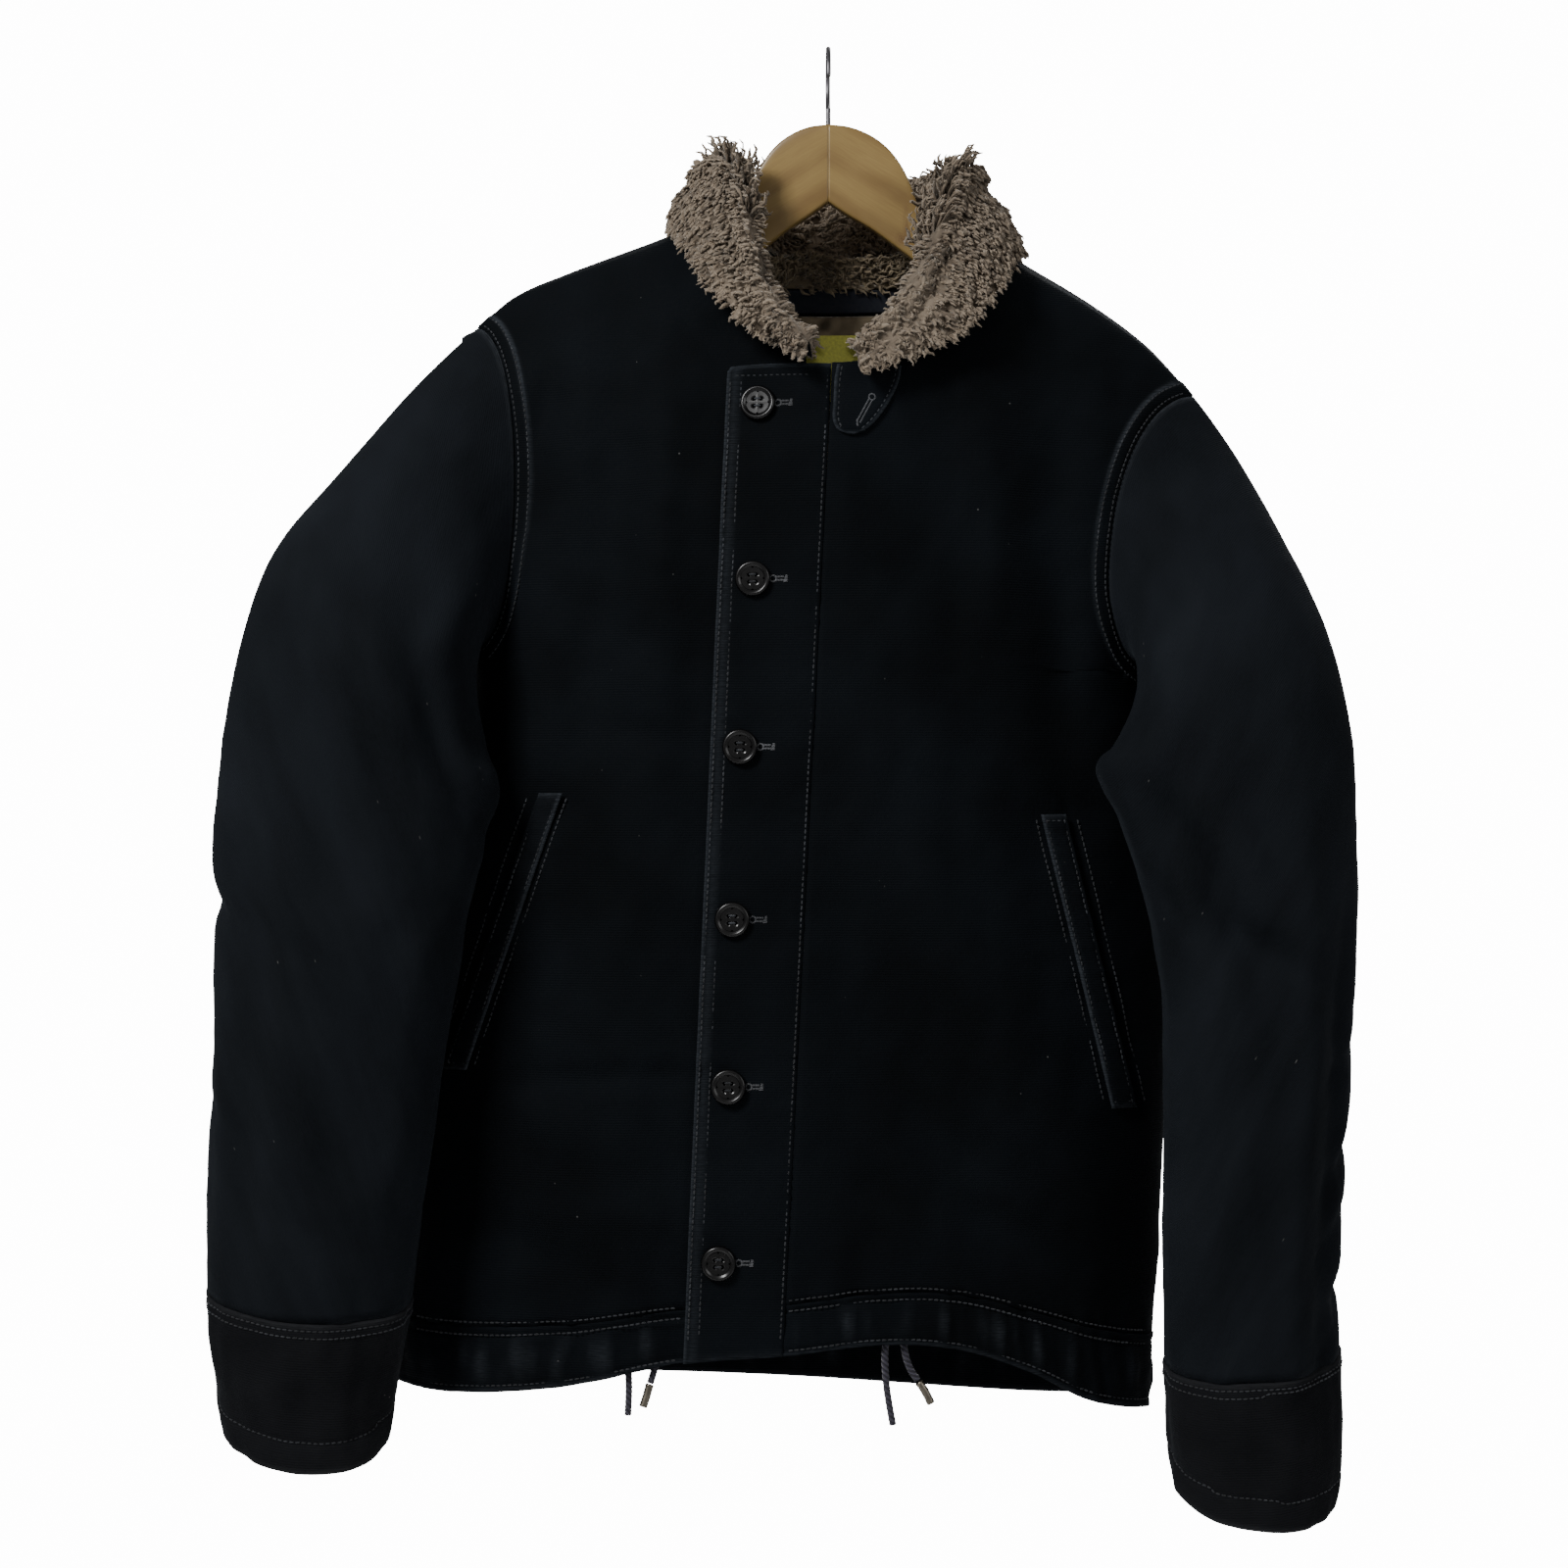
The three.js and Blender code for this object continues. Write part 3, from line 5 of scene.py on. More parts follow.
import bpy
import numpy as np
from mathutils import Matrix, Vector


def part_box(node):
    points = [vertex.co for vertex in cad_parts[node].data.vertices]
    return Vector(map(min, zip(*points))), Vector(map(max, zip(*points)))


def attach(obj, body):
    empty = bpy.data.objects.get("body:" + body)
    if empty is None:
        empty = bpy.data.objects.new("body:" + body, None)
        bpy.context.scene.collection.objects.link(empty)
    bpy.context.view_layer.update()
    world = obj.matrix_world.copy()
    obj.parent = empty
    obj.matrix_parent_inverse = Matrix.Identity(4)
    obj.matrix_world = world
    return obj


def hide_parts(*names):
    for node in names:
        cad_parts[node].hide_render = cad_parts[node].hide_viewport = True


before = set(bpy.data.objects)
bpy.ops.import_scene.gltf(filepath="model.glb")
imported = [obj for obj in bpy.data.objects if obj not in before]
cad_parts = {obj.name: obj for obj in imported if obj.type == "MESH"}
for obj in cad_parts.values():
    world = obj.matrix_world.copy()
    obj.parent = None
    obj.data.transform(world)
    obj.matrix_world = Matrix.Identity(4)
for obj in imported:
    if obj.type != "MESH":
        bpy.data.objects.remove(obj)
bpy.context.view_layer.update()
MM = 0.001

camera = bpy.data.objects.new("camera", bpy.data.cameras.new("camera"))
bpy.context.scene.collection.objects.link(camera)
camera.location = (-0.0257, -1.9, -0.4258)
camera.rotation_euler = (math.radians(90), 0, 0)
camera.data.lens = 75
camera.data.sensor_width = 36
bpy.context.scene.camera = camera

# Driving sizes
CLOTH = 3.0
SEAM_GAP = 0.3
PANEL_POWER = 2.2
RIDGE_REACH = 200.0
RIDGE_POWER = 1.7
SLEEVE_POWER = 2.15
SLEEVE_SPACE = 5.0
PILE = 7.0
UNDER_COLLAR = 2.0
FOLD_ROUND = 10.5
WIRE = 2.8
HOOK_INSIDE = 16.0
WOOD = 12.0
WOOD_JOINT = 0.004
CORD = 4.0


class Table:
    """Rows of named columns, read on a smooth curve along the first column."""

    def __init__(self, names, rows):
        self.names = names.split()
        self.rows = np.array(rows, float)

    def read(self, at):
        at = np.asarray(at, float)
        keys, last = self.rows[:, 0], len(self.rows) - 1
        i = np.clip(np.searchsorted(keys, at, side="right") - 1, 0, last - 1)
        a, b = self.rows[i], self.rows[i + 1]
        before, after = self.rows[np.maximum(i - 1, 0)], self.rows[np.minimum(i + 2, last)]
        span = (b - a)[..., :1]
        t = np.clip((at[..., None] - a[..., :1]) / span, 0, 1)
        slope_a = (b - before) / (b - before)[..., :1]
        slope_b = (after - a) / (after - a)[..., :1]
        out = a * (1 + 2 * t) * (1 - t) ** 2 + b * (3 - 2 * t) * t**2
        out += slope_a * span * t * (1 - t) ** 2 - slope_b * span * (1 - t) * t**2
        return {name: out[..., k] for k, name in enumerate(self.names)}


BODY = Table("z centre half front back seam", [
    (-810, -35, 220, 70, 84, 0),
    (-740, -32, 221, 75, 82, 2),
    (-660, -27, 221, 80, 79, 4),
    (-560, -21, 219, 83, 77, 6),
    (-450, -14, 212, 84, 76, 8),
    (-350, -8, 197, 83, 76, 8),
    (-270, -2, 202, 80, 74, 6),
    (-190, 2, 212, 77, 71, 1),
    (-130, 4, 217, 75, 69, 0),
    (-40, 8, 214, 74, 66, 0),
])
SHOULDER = Table("x z", [
    (-245, -196), (-222, -176), (-204, -161), (-183, -143), (-154, -130), (-95, -108), (-57, -92), (5, -68),
    (67, -95), (115, -124), (153, -147), (184, -170), (204, -191), (214, -203), (245, -243),
])
# side, tip_x, pit_z, front_scoop, back_scoop
ARMHOLE = {"right": (-1, -204, -350, 25, 14), "left": (1, 212, -362, 40, 20)}
ARMHOLE_ROUND = 0.5
NECK_X, NECK_HALF, NECK_FRONT_Z, NECK_BACK_Z, NECK_POWER = 5, 62, -189, -118, 2.3
HEM_FRONT = Table("x edge seam", [
    (-256, -768, -731), (-215, -771, -733), (-150, -765, -730), (-84, -751, -721), (-25, -746, -717),
    (30, -740, -711), (75, -744, -713), (115, -758, -724), (150, -776, -735), (190, -786, -744),
])
HEM_BACK = Table("x edge seam", [
    (-256, -768, -731), (-150, -778, -741), (-30, -784, -748), (110, -790, -752), (190, -786, -744),
])
SEAM_Z = -735
SLEEVE = {
    "right": [
        (-224, -180, -201, -357, -2, 58, 0, 0.85),
        (-247, -206, -194, -366, -14, 60, 2, 0.6),
        (-281, -250, -187, -376, -34, 60, 3, 0.32),
        (-312, -290, -183, -387, -50, 58, 4, 0.12),
        (-328, -335, -182, -403, -62, 56, 5, 0),
        (-339, -393, -186, -430, -69, 54, 6, 0),
        (-344, -448, -193, -464, -74, 52, 7, 0),
        (-343, -500, -203, -505, -76, 51, 8, 0),
        (-343, -550, -212, -555, -77, 50, 9, 0),
        (-345, -605, -220, -610, -77, 48, 10, 0),
        (-347, -655, -227, -662, -77, 46, 10, 0),
        (-347, -705, -234, -714, -76, 44, 10, 0),
        (-344, -742, -241, -752, -75, 42, 15, 0),
        (-339, -777, -245, -787, -74, 40, 21, 0),
    ],
    "left": [
        (226, -220, 188, -371, -2, 56, 0, 0.85),
        (240, -245, 178, -379, -15, 58, 2, 0.6),
        (256, -280, 163, -386, -35, 58, 3, 0.32),
        (271, -316, 149, -393, -51, 57, 4, 0.12),
        (282, -350, 144, -402, -62, 55, 5, 0),
        (291, -392, 149, -418, -70, 53, 6, 0),
        (293, -437, 161, -446, -75, 51, 7, 0),
        (294, -483, 173, -484, -77, 50, 7, 0),
        (292, -536, 184, -536, -78, 48, 8, 0),
        (290, -590, 186, -592, -78, 46, 8, 0),
        (287, -640, 186, -645, -78, 45, 8, 0),
        (284, -690, 186, -697, -77, 44, 9, 0),
        (284, -739, 187, -748, -76, 43, 9, 0),
        (285, -783, 189, -785, -75, 41, 13, 0),
        (282, -820, 192, -814, -74, 40, 18, 0),
    ],
}
CUFF_RINGS = 3

# Creases: x, z, lean, long, wide, high. The lean is in degrees, of the foot towards +X.
FRONT_CREASES = np.array([
    (-128, -300, -5, 150, 20, -8),
    (-96, -290, -2, 130, 16, 4),
    (-163, -225, -10, 60, 11, -6),
    (-160, -375, 12, 60, 18, 4),
    (-128, -591, 92, 62, 6, -4),
    (-150, -620, 70, 60, 14, 3),
    (-180, -680, 62, 55, 12, -5),
    (-118, -668, 80, 45, 14, 3),
    (-104, -398, 75, 22, 8, -3),
    (32, -330, 16, 120, 24, 4),
    (75, -520, 28, 190, 24, 7),
    (34, -570, 27, 130, 20, -5),
    (128, -330, 3, 120, 18, -10),
    (92, -270, 4, 110, 18, 4),
    (112, -455, 12, 70, 16, -4),
    (100, -675, 68, 50, 11, -4),
    (20, -650, 60, 60, 14, -3),
], float)
BACK_CREASES = np.array([
    (-60, -330, 12, 150, 22, -6),
    (55, -350, -10, 160, 24, -7),
    (0, -420, 2, 170, 26, 4),
    (-150, -300, -14, 100, 16, -7),
    (145, -320, 14, 110, 16, -8),
    (-95, -620, 78, 80, 14, -4),
    (70, -640, 100, 80, 13, -4),
    (-10, -690, 86, 110, 12, 3),
], float)
# Creases on the sleeves: down, turn, lean, long, wide, high
SLEEVE_CREASES = {
    "right": np.array([
        (120, 118, 30, 70, 11, -7),
        (175, 150, 55, 50, 10, -5),
        (330, 52, 4, 170, 16, -4),
        (300, 88, 0, 190, 22, 4),
        (250, 10, 78, 40, 9, -5),
        (470, 128, 30, 80, 16, -4),
        (230, 285, 20, 110, 18, -6),
        (400, 262, -35, 80, 14, -5),
    ], float),
    "left": np.array([
        (205, 112, -22, 60, 14, -10),
        (232, 88, -62, 42, 10, -7),
        (330, 70, 2, 190, 12, 6),
        (330, 40, 3, 150, 12, -4),
        (150, 130, 30, 60, 14, -8),
        (355, 18, 65, 34, 10, -5),
        (430, 14, 70, 34, 10, -5),
        (400, 118, -18, 100, 16, -4),
        (240, 285, -20, 110, 18, -6),
        (420, 262, 35, 80, 14, -5),
    ], float),
}

# The collar's rows: neck seam, top of the fold, and outer edge, each x, y, z.
COLLAR = Table("place nx ny nz fx fy fz ex ey ez", [
    (0, -8, -66, -184, -10, -74, -172, -18, -84, -188),
    (1, -24, -60, -172, -26, -66, -148, -43, -80, -171),
    (2, -40, -44, -150, -36, -50, -116, -66, -70, -146),
    (3, -50, -22, -110, -47, -26, -68, -86, -38, -114),
    (4, -60, 2, -89, -64, 4, -62, -94, 4, -98),
    (5, -50, 26, -98, -54, 34, -60, -78, 54, -108),
    (6, -26, 38, -110, -26, 50, -60, -34, 78, -118),
    (7, 5, 42, -115, 6, 55, -60, 8, 84, -121),
    (8, 36, 38, -111, 38, 50, -60, 50, 78, -120),
    (9, 60, 26, -100, 66, 34, -60, 96, 54, -118),
    (10, 70, 2, -92, 77, 4, -63, 114, 4, -112),
    (11, 59, -22, -113, 63, -26, -75, 106, -38, -130),
    (12, 46, -43, -148, 49, -50, -120, 84, -70, -162),
    (13, 34, -60, -173, 31, -66, -152, 50, -80, -184),
    (14, 16, -66, -184, 12, -74, -174, 16, -86, -194),
])
BUTTONS = [(-40.4, -212), (-43.2, -311), (-50.3, -405), (-54.6, -501.5), (-56.8, -595), (-62.3, -693.5)]
# Pocket welts: top x, top z, end x, end z, width
WELTS = {"right": (-157, -431, -212, -588, 13), "left": (126, -443, 167, -610, 14)}
TAB = Table("place x z half", [
    (0, 22, -191, 18), (1, 20.5, -200, 18), (2, 17.5, -212, 15.5), (3, 13.8, -222, 12.2),
    (3.6, 12, -228, 7.5), (4, 11.5, -230.5, 1.5),
])
CROWN = Table("x top low", [
    (0, -42.8, -88), (12, -44.2, -96), (24, -48.8, -103), (34, -56, -110), (42, -66, -116),
    (48, -78, -120.5), (53, -92, -124.5), (58, -101, -129), (66, -107, -134),
])
CROWN_WIDTH = {"right": 0.92, "left": 1}
ARM_END = {"right": -184, "left": 190}
ARM_BELOW, ARM_DEEP_AT_NECK, ARM_DEEP_AT_END = 8.8, 29, 20
CORDS = {
    "drawcord_right_end": [(-94, 9.2, -730), (-96, 9.2, -745), (-98.5, 9, -755), (-101, 8, -763)],
    "drawcord_right_tip": [(-101.2, 7.9, -763.5), (-103, 7, -770), (-105, 6, -776)],
    "drawcord_right_loop": [(-113, 7.3, -735), (-113.5, 7.3, -750), (-113, 8, -765), (-113.5, 7, -781)],
    "drawcord_left_loop": [(34, 5.4, -732), (31, 5.4, -744), (32, 6, -765), (35.5, 5.5, -786)],
    "drawcord_left_end": [(40.5, 5.4, -730), (42, 5.4, -744), (45, 6, -754), (49.5, 5, -761)],
    "drawcord_left_tip": [(50, 4.8, -761.8), (53.5, 4.4, -767), (57, 4, -774)],
}

def mix(a, b, share):
    return a + (b - a) * share


def ease(v):
    t = np.clip(v, 0, 1)
    return t * t * (3 - 2 * t)


def unit(v):
    return v / np.maximum(np.linalg.norm(v, axis=-1, keepdims=True), 1e-9)


def crease_height(creases, across_of, up_of):
    """The height of all creases at places, from the distances across and up to each."""
    height = 0.0
    for row in creases:
        across, up = across_of(row), up_of(row)
        lean = math.radians(row[2])
        along = across * math.sin(lean) - up * math.cos(lean)
        beside = across * math.cos(lean) + up * math.sin(lean)
        height = height + row[5] * np.exp(-((along / row[3]) ** 2) - (beside / row[4]) ** 2)
    return height


class Noise:
    """Smooth uneven heights from sine waves in seeded directions, about -1 to 1."""

    def __init__(self, seed, size, waves=24):
        own = np.random.default_rng(seed)
        angle = own.uniform(0, 2 * math.pi, waves)
        length = size * own.uniform(0.6, 1.7, waves)
        self.k = 2 * math.pi * np.stack([np.cos(angle), np.sin(angle)]) / length
        self.phase = own.uniform(0, 2 * math.pi, waves)

    def at(self, u, v):
        total = 0.0
        for kx, ky, phase in zip(self.k[0], self.k[1], self.phase):
            total = total + np.sin(kx * u + ky * v + phase)
        return total / math.sqrt(len(self.phase))


def through(points, count):
    """Smooth points through a few, along the second axis."""
    n = points.shape[1]
    at = np.linspace(0, n - 1, count)
    i = np.minimum(at.astype(int), n - 2)
    t = (at - i)[None, :, None]
    p0, p1 = points[:, np.maximum(i - 1, 0)], points[:, i]
    p2, p3 = points[:, i + 1], points[:, np.minimum(i + 2, n - 1)]
    return 0.5 * (2 * p1 + (p2 - p0) * t + (2 * p0 - 5 * p1 + 4 * p2 - p3) * t**2
                  + (3 * p1 - p0 - 3 * p2 + p3) * t**3)


# The body's surface


def shoulder_z(x):
    return SHOULDER.read(x)["z"]


def body_section(x, z, face):
    row = BODY.read(z)
    reach = np.clip(np.abs(x - row["centre"]) / row["half"], 0, 1)
    below = np.clip((shoulder_z(x) - z) / RIDGE_REACH, 0, 1)
    ridge = (1 - (1 - below) ** RIDGE_POWER) ** (1 / RIDGE_POWER)
    front = crease_height(FRONT_CREASES, lambda c: x - c[0], lambda c: z - c[1])
    back = crease_height(BACK_CREASES, lambda c: x - c[0], lambda c: z - c[1])
    height = np.where(face < 0, front, back)
    depth = np.where(face < 0, row["front"], row["back"]) * ridge
    raised = height * ease((1 - reach) * 6) * ease(below * 6)
    return row["centre"], row["half"], reach, row["seam"] * ridge, depth, raised


def body_y(x, z, face):
    _, _, reach, seam, depth, raised = body_section(x, z, face)
    return seam + face * (depth * (1 - reach**PANEL_POWER) ** (1 / PANEL_POWER) + raised)


def body_normal(x, z, face):
    step = 0.5
    slope_x = (body_y(x + step, z, face) - body_y(x - step, z, face)) / (2 * step)
    slope_z = (body_y(x, z + step, face) - body_y(x, z - step, face)) / (2 * step)
    return unit(np.stack([-slope_x, np.ones_like(slope_x), -slope_z], -1)) * np.asarray(face)[..., None]


def body_point(x, z, face):
    x, z = np.broadcast_arrays(np.asarray(x, float), np.asarray(z, float))
    return np.stack([x, body_y(x, z, face), z], -1)


def side_x(z, side):
    row = BODY.read(z)
    return row["centre"] + side * row["half"]


def edge_x(z):
    return -49.2 + 0.044 * z


def seam_x(z):
    return 10.4 + 0.0491 * z


def underlap_x(z):
    return edge_x(z) + 44


def underlap_sink(x, z):
    return 4.4 * ease((x - (edge_x(z) - 44)) / 40) * ease((-140 - z) / 45)


def armhole_xz(name, turn):
    side, tip_x, pit_z, front_scoop, back_scoop = ARMHOLE[name]
    turn = np.asarray(turn, float)
    face = np.where(turn <= 180, -1, 1)
    share = (1 - np.cos(np.radians(turn))) / 2
    scoop = np.where(face < 0, front_scoop, back_scoop)
    bend = np.maximum(0, 1 - np.abs(2 * share - 1) ** 2.2) ** ARMHOLE_ROUND
    x = mix(tip_x, side_x(pit_z, side), share) - side * scoop * bend
    z = np.minimum(mix(shoulder_z(tip_x), pit_z, share), shoulder_z(x))
    return x, z, face


def armhole_point(name, turn):
    x, z, face = armhole_xz(name, turn)
    return body_point(x, z, face)


def armhole_normal(name, turn):
    side = ARMHOLE[name][0]
    turn = np.asarray(turn, float)
    x, z, face = armhole_xz(name, turn)
    normal = body_normal(x, z, face)
    near_tip = (1 - ease(np.minimum(turn, 360 - turn) / 40))[..., None]
    near_pit = (1 - ease(np.abs(turn - 180) / 40))[..., None]
    normal = mix(normal, unit(np.array([side * 0.35, 0, 1.0])), near_tip)
    return unit(mix(normal, np.array([side * 0.5, 0, -0.87]), near_pit))


# Meshes


def new_piece(name, points, faces, material, uv=None, values=None, flat_from=None):
    """A mesh piece from points in millimetres and arrays of faces, flat from flat_from on."""
    mesh = bpy.data.meshes.new(name)
    mesh.vertices.add(len(points))
    mesh.vertices.foreach_set("co", (np.asarray(points, float) * MM).astype(np.float32).ravel())
    loops = np.concatenate([np.asarray(f).ravel() for f in faces])
    totals = np.concatenate([np.full(len(f), f.shape[1]) for f in faces])
    mesh.loops.add(len(loops))
    mesh.loops.foreach_set("vertex_index", loops.astype(np.int32))
    mesh.polygons.add(len(totals))
    mesh.polygons.foreach_set("loop_start", np.concatenate([[0], np.cumsum(totals)[:-1]]).astype(np.int32))
    smooth = np.ones(len(totals), bool)
    if flat_from is not None:
        smooth[flat_from:] = False
    mesh.polygons.foreach_set("use_smooth", smooth)
    if uv is not None:
        layer = mesh.uv_layers.new(name="UVMap")
        layer.data.foreach_set("uv", (np.asarray(uv, float)[loops] * MM).astype(np.float32).ravel())
    for key, value in (values or {}).items():
        values_of = mesh.attributes.new(key, "FLOAT", "POINT").data
        values_of.foreach_set("value", np.asarray(value, np.float32).ravel())
    mesh.update(calc_edges=True)
    mesh.materials.append(material)
    piece = bpy.data.objects.new(name, mesh)
    bpy.context.scene.collection.objects.link(piece)
    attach(piece, "root")
    return piece


def shell_faces(rows, columns, closed):
    """Quads of a closed wall: the outer grid, the inner grid and the rim last."""
    spans = columns if closed else columns - 1
    i, j = np.meshgrid(np.arange(rows - 1), np.arange(spans), indexing="ij")
    nxt = (j + 1) % columns
    a, b, c, d = i * columns + j, i * columns + nxt, (i + 1) * columns + nxt, (i + 1) * columns + j
    inner = rows * columns
    outer_quads = np.stack([a, b, c, d], -1).reshape(-1, 4)
    inner_quads = np.stack([a, d, c, b], -1).reshape(-1, 4) + inner
    j = np.arange(spans)
    nxt = (j + 1) % columns
    top = (rows - 1) * columns
    rim = [
        np.stack([j, j + inner, nxt + inner, nxt], -1),
        np.stack([top + j, top + nxt, top + nxt + inner, top + j + inner], -1),
    ]
    if not closed:
        i = np.arange(rows - 1) * columns
        end = columns - 1
        rim.append(np.stack([i, i + columns, i + columns + inner, i + inner], -1))
        rim.append(np.stack([i + end, i + end + inner, i + end + columns + inner, i + end + columns], -1))
    rim = np.concatenate(rim)
    return np.concatenate([outer_quads, inner_quads, rim]), len(outer_quads) + len(inner_quads)


def faced_out(points, quads):
    """The quads turned so that the closed mesh encloses a positive volume."""
    p = points[quads]
    volume = np.einsum("ij,ij->i", p[:, 0], np.cross(p[:, 1], p[:, 2])).sum()
    volume += np.einsum("ij,ij->i", p[:, 0], np.cross(p[:, 2], p[:, 3])).sum()
    return quads if volume > 0 else quads[:, ::-1]


def shell(name, outer, inner, material, closed=False, uv=None, values=None):
    rows, columns = outer.shape[:2]
    points = np.concatenate([outer.reshape(-1, 3), inner.reshape(-1, 3)])
    quads, flat_from = shell_faces(rows, columns, closed)
    both = None if uv is None else np.concatenate([uv.reshape(-1, 2)] * 2)
    doubled = {key: np.concatenate([v.ravel(), v.ravel()]) for key, v in (values or {}).items()}
    return new_piece(name, points, [faced_out(points, quads)], material, both, doubled, flat_from)


def grid_normals(grid, closed=False):
    if closed:
        across = np.roll(grid, -1, 1) - np.roll(grid, 1, 1)
    else:
        across = np.gradient(grid, axis=1)
    return unit(np.cross(across, np.gradient(grid, axis=0)))


def outward(normals, grid, middle):
    """The normals turned away from a middle."""
    facing = np.einsum("...k,...k", normals, grid - middle)
    return normals * np.where(facing < 0, -1, 1)[..., None]


def body_middle(grid):
    x = np.clip(grid[..., 0], -150, 130)
    return np.stack([x, np.zeros_like(x), np.minimum(grid[..., 2], shoulder_z(x) - 70)], -1)


def distance_to(points, line):
    """The least distance from each point to a line of points."""
    flat = points.reshape(-1, 3)
    best = np.full(len(flat), 1e9)
    for k in range(0, len(line), 8):
        gap = np.linalg.norm(flat[:, None] - line[None, k:k + 8], axis=2).min(1)
        best = np.minimum(best, gap)
    return best.reshape(points.shape[:-1])


# Materials


class Nodes:
    """A material's node tree, with short calls to add and join nodes."""

    def __init__(self, name):
        self.material = bpy.data.materials.new(name)
        self.material.use_nodes = True
        self.tree = self.material.node_tree
        self.shader = self.tree.nodes["Principled BSDF"]

    def add(self, kind, **settings):
        node = self.tree.nodes.new("ShaderNode" + kind)
        for key, value in settings.items():
            if hasattr(node, key):
                setattr(node, key, value)
            else:
                self.put(node.inputs[key.replace("_", " ")], value)
        return node

    def put(self, socket, value):
        if isinstance(value, bpy.types.NodeSocket):
            self.tree.links.new(value, socket)
        else:
            socket.default_value = value

    def set(self, **values):
        for key, value in values.items():
            self.put(self.shader.inputs[key.replace("_", " ")], value)

    def uv(self, scale=(1, 1, 1)):
        mapping = self.add("Mapping", Scale=scale)
        self.put(mapping.inputs["Vector"], self.add("UVMap").outputs[0])
        return mapping.outputs[0]

    def place(self, scale=(1, 1, 1)):
        mapping = self.add("Mapping", Scale=scale)
        self.put(mapping.inputs["Vector"], self.add("TexCoord").outputs["Object"])
        return mapping.outputs[0]

    def noise(self, vector, scale, detail=2.0, rough=0.5):
        node = self.add("TexNoise", Vector=vector, Scale=scale, Detail=detail, Roughness=rough)
        return node.outputs["Fac"]

    def ramp(self, value, low, high, a=0.0, b=1.0):
        node = self.add("MapRange", Value=value, From_Min=low, From_Max=high, To_Min=a, To_Max=b)
        return node.outputs[0]

    def math(self, operation, a, b=0.0):
        node = self.add("Math", operation=operation)
        self.put(node.inputs[0], a)
        self.put(node.inputs[1], b)
        return node.outputs[0]

    def blend(self, share, a, b, way="MIX"):
        node = self.add("Mix", data_type="RGBA", blend_type=way)
        self.put(node.inputs[0], share)
        self.put(node.inputs[6], a)
        self.put(node.inputs[7], b)
        return node.outputs[2]

    def value(self, name):
        return self.add("Attribute", attribute_name=name).outputs["Fac"]

    def bump(self, height, strength, distance, under=None):
        node = self.add("Bump", Height=height, Strength=strength, Distance=distance)
        if under is not None:
            self.put(node.inputs["Normal"], under)
        return node.outputs[0]


def cloth(name, dark, faded, worn, fade_low, fade_high):
    """Cotton cord cloth: fine ribs across the piece, uneven fading, pale wear at the seams and white lint."""
    n = Nodes(name)
    uv = n.uv()
    large = n.noise(uv, 9, 3, 0.55)
    small = n.noise(uv, 420, 3, 0.6)
    colour = n.blend(n.ramp(large, fade_low, fade_high), dark, faded)
    colour = n.blend(n.ramp(small, 0.3, 0.75, 0, 0.35), colour, faded)
    streak = n.noise(n.uv((1.0, 7.0, 1.0)), 160, 2, 0.5)
    rubbed = n.math("MULTIPLY", n.value("worn"), n.ramp(streak, 0.32, 0.68, 0.35, 1))
    colour = n.blend(rubbed, colour, worn)
    specks = n.add("TexVoronoi", Vector=uv, Scale=150.0, Randomness=1.0)
    chosen = n.ramp(n.noise(uv, 61, 1), 0.66, 0.69)
    lint = n.math("MULTIPLY", n.ramp(specks.outputs["Distance"], 0.09, 0.03), chosen)
    colour = n.blend(lint, colour, (0.12, 0.12, 0.115, 1))
    ribs = n.add("TexWave", Vector=uv, wave_type="BANDS", bands_direction="Y", Scale=230.0, Distortion=0.8,
                 Detail=1.0)
    rib_bump = n.bump(ribs.outputs["Fac"], 0.35, 0.0004)
    grain = n.bump(small, 0.45, 0.0006, rib_bump)
    soft = n.bump(n.noise(uv, 34, 3, 0.5), 0.5, 0.0022, grain)
    n.set(Base_Color=colour, Normal=soft, Roughness=n.ramp(small, 0.2, 0.8, 0.75, 0.95))
    n.set(Specular_IOR_Level=0.08, Sheen_Weight=0.035, Sheen_Roughness=0.4, Sheen_Tint=(0.5, 0.6, 0.72, 1))
    return n.material


def pile(name, root, middle, tip):
    """Wool pile, darker at its roots as painted shade among the fibres and lighter towards its tips, with
    warmer and greyer tufts.
    """
    n = Nodes(name)
    high = n.value("high")
    tone = n.value("tone")
    # colour by height along the pile: the root colour is painted shade at the foot of the fibres
    colour = n.blend(n.ramp(high, 0.0, 0.45), root, middle)
    colour = n.blend(n.ramp(high, 0.4, 1.0), colour, tip)
    colour = n.blend(n.ramp(tone, 0.0, 1.0, 0, 0.65), colour, (0.06, 0.052, 0.043, 1))
    patch = n.noise(n.place(), 28, 2, 0.5)
    colour = n.blend(n.ramp(patch, 0.42, 0.66, 0, 0.5), colour, tip)
    fine = n.noise(n.place(), 900, 2, 0.6)
    n.set(Base_Color=colour, Roughness=0.95, Normal=n.bump(fine, 0.5, 0.0008))
    n.set(Specular_IOR_Level=0.12, Sheen_Weight=0.35, Sheen_Roughness=0.5, Sheen_Tint=(0.8, 0.75, 0.68, 1))
    return n.material


def thread(name, colour, pale):
    n = Nodes(name)
    strand = n.noise(n.place(), 1500, 1)
    n.set(Base_Color=n.blend(n.ramp(n.noise(n.place(), 60), 0.4, 0.7), colour, pale), Roughness=0.8)
    n.set(Normal=n.bump(strand, 0.4, 0.0002), Sheen_Weight=0.1)
    return n.material


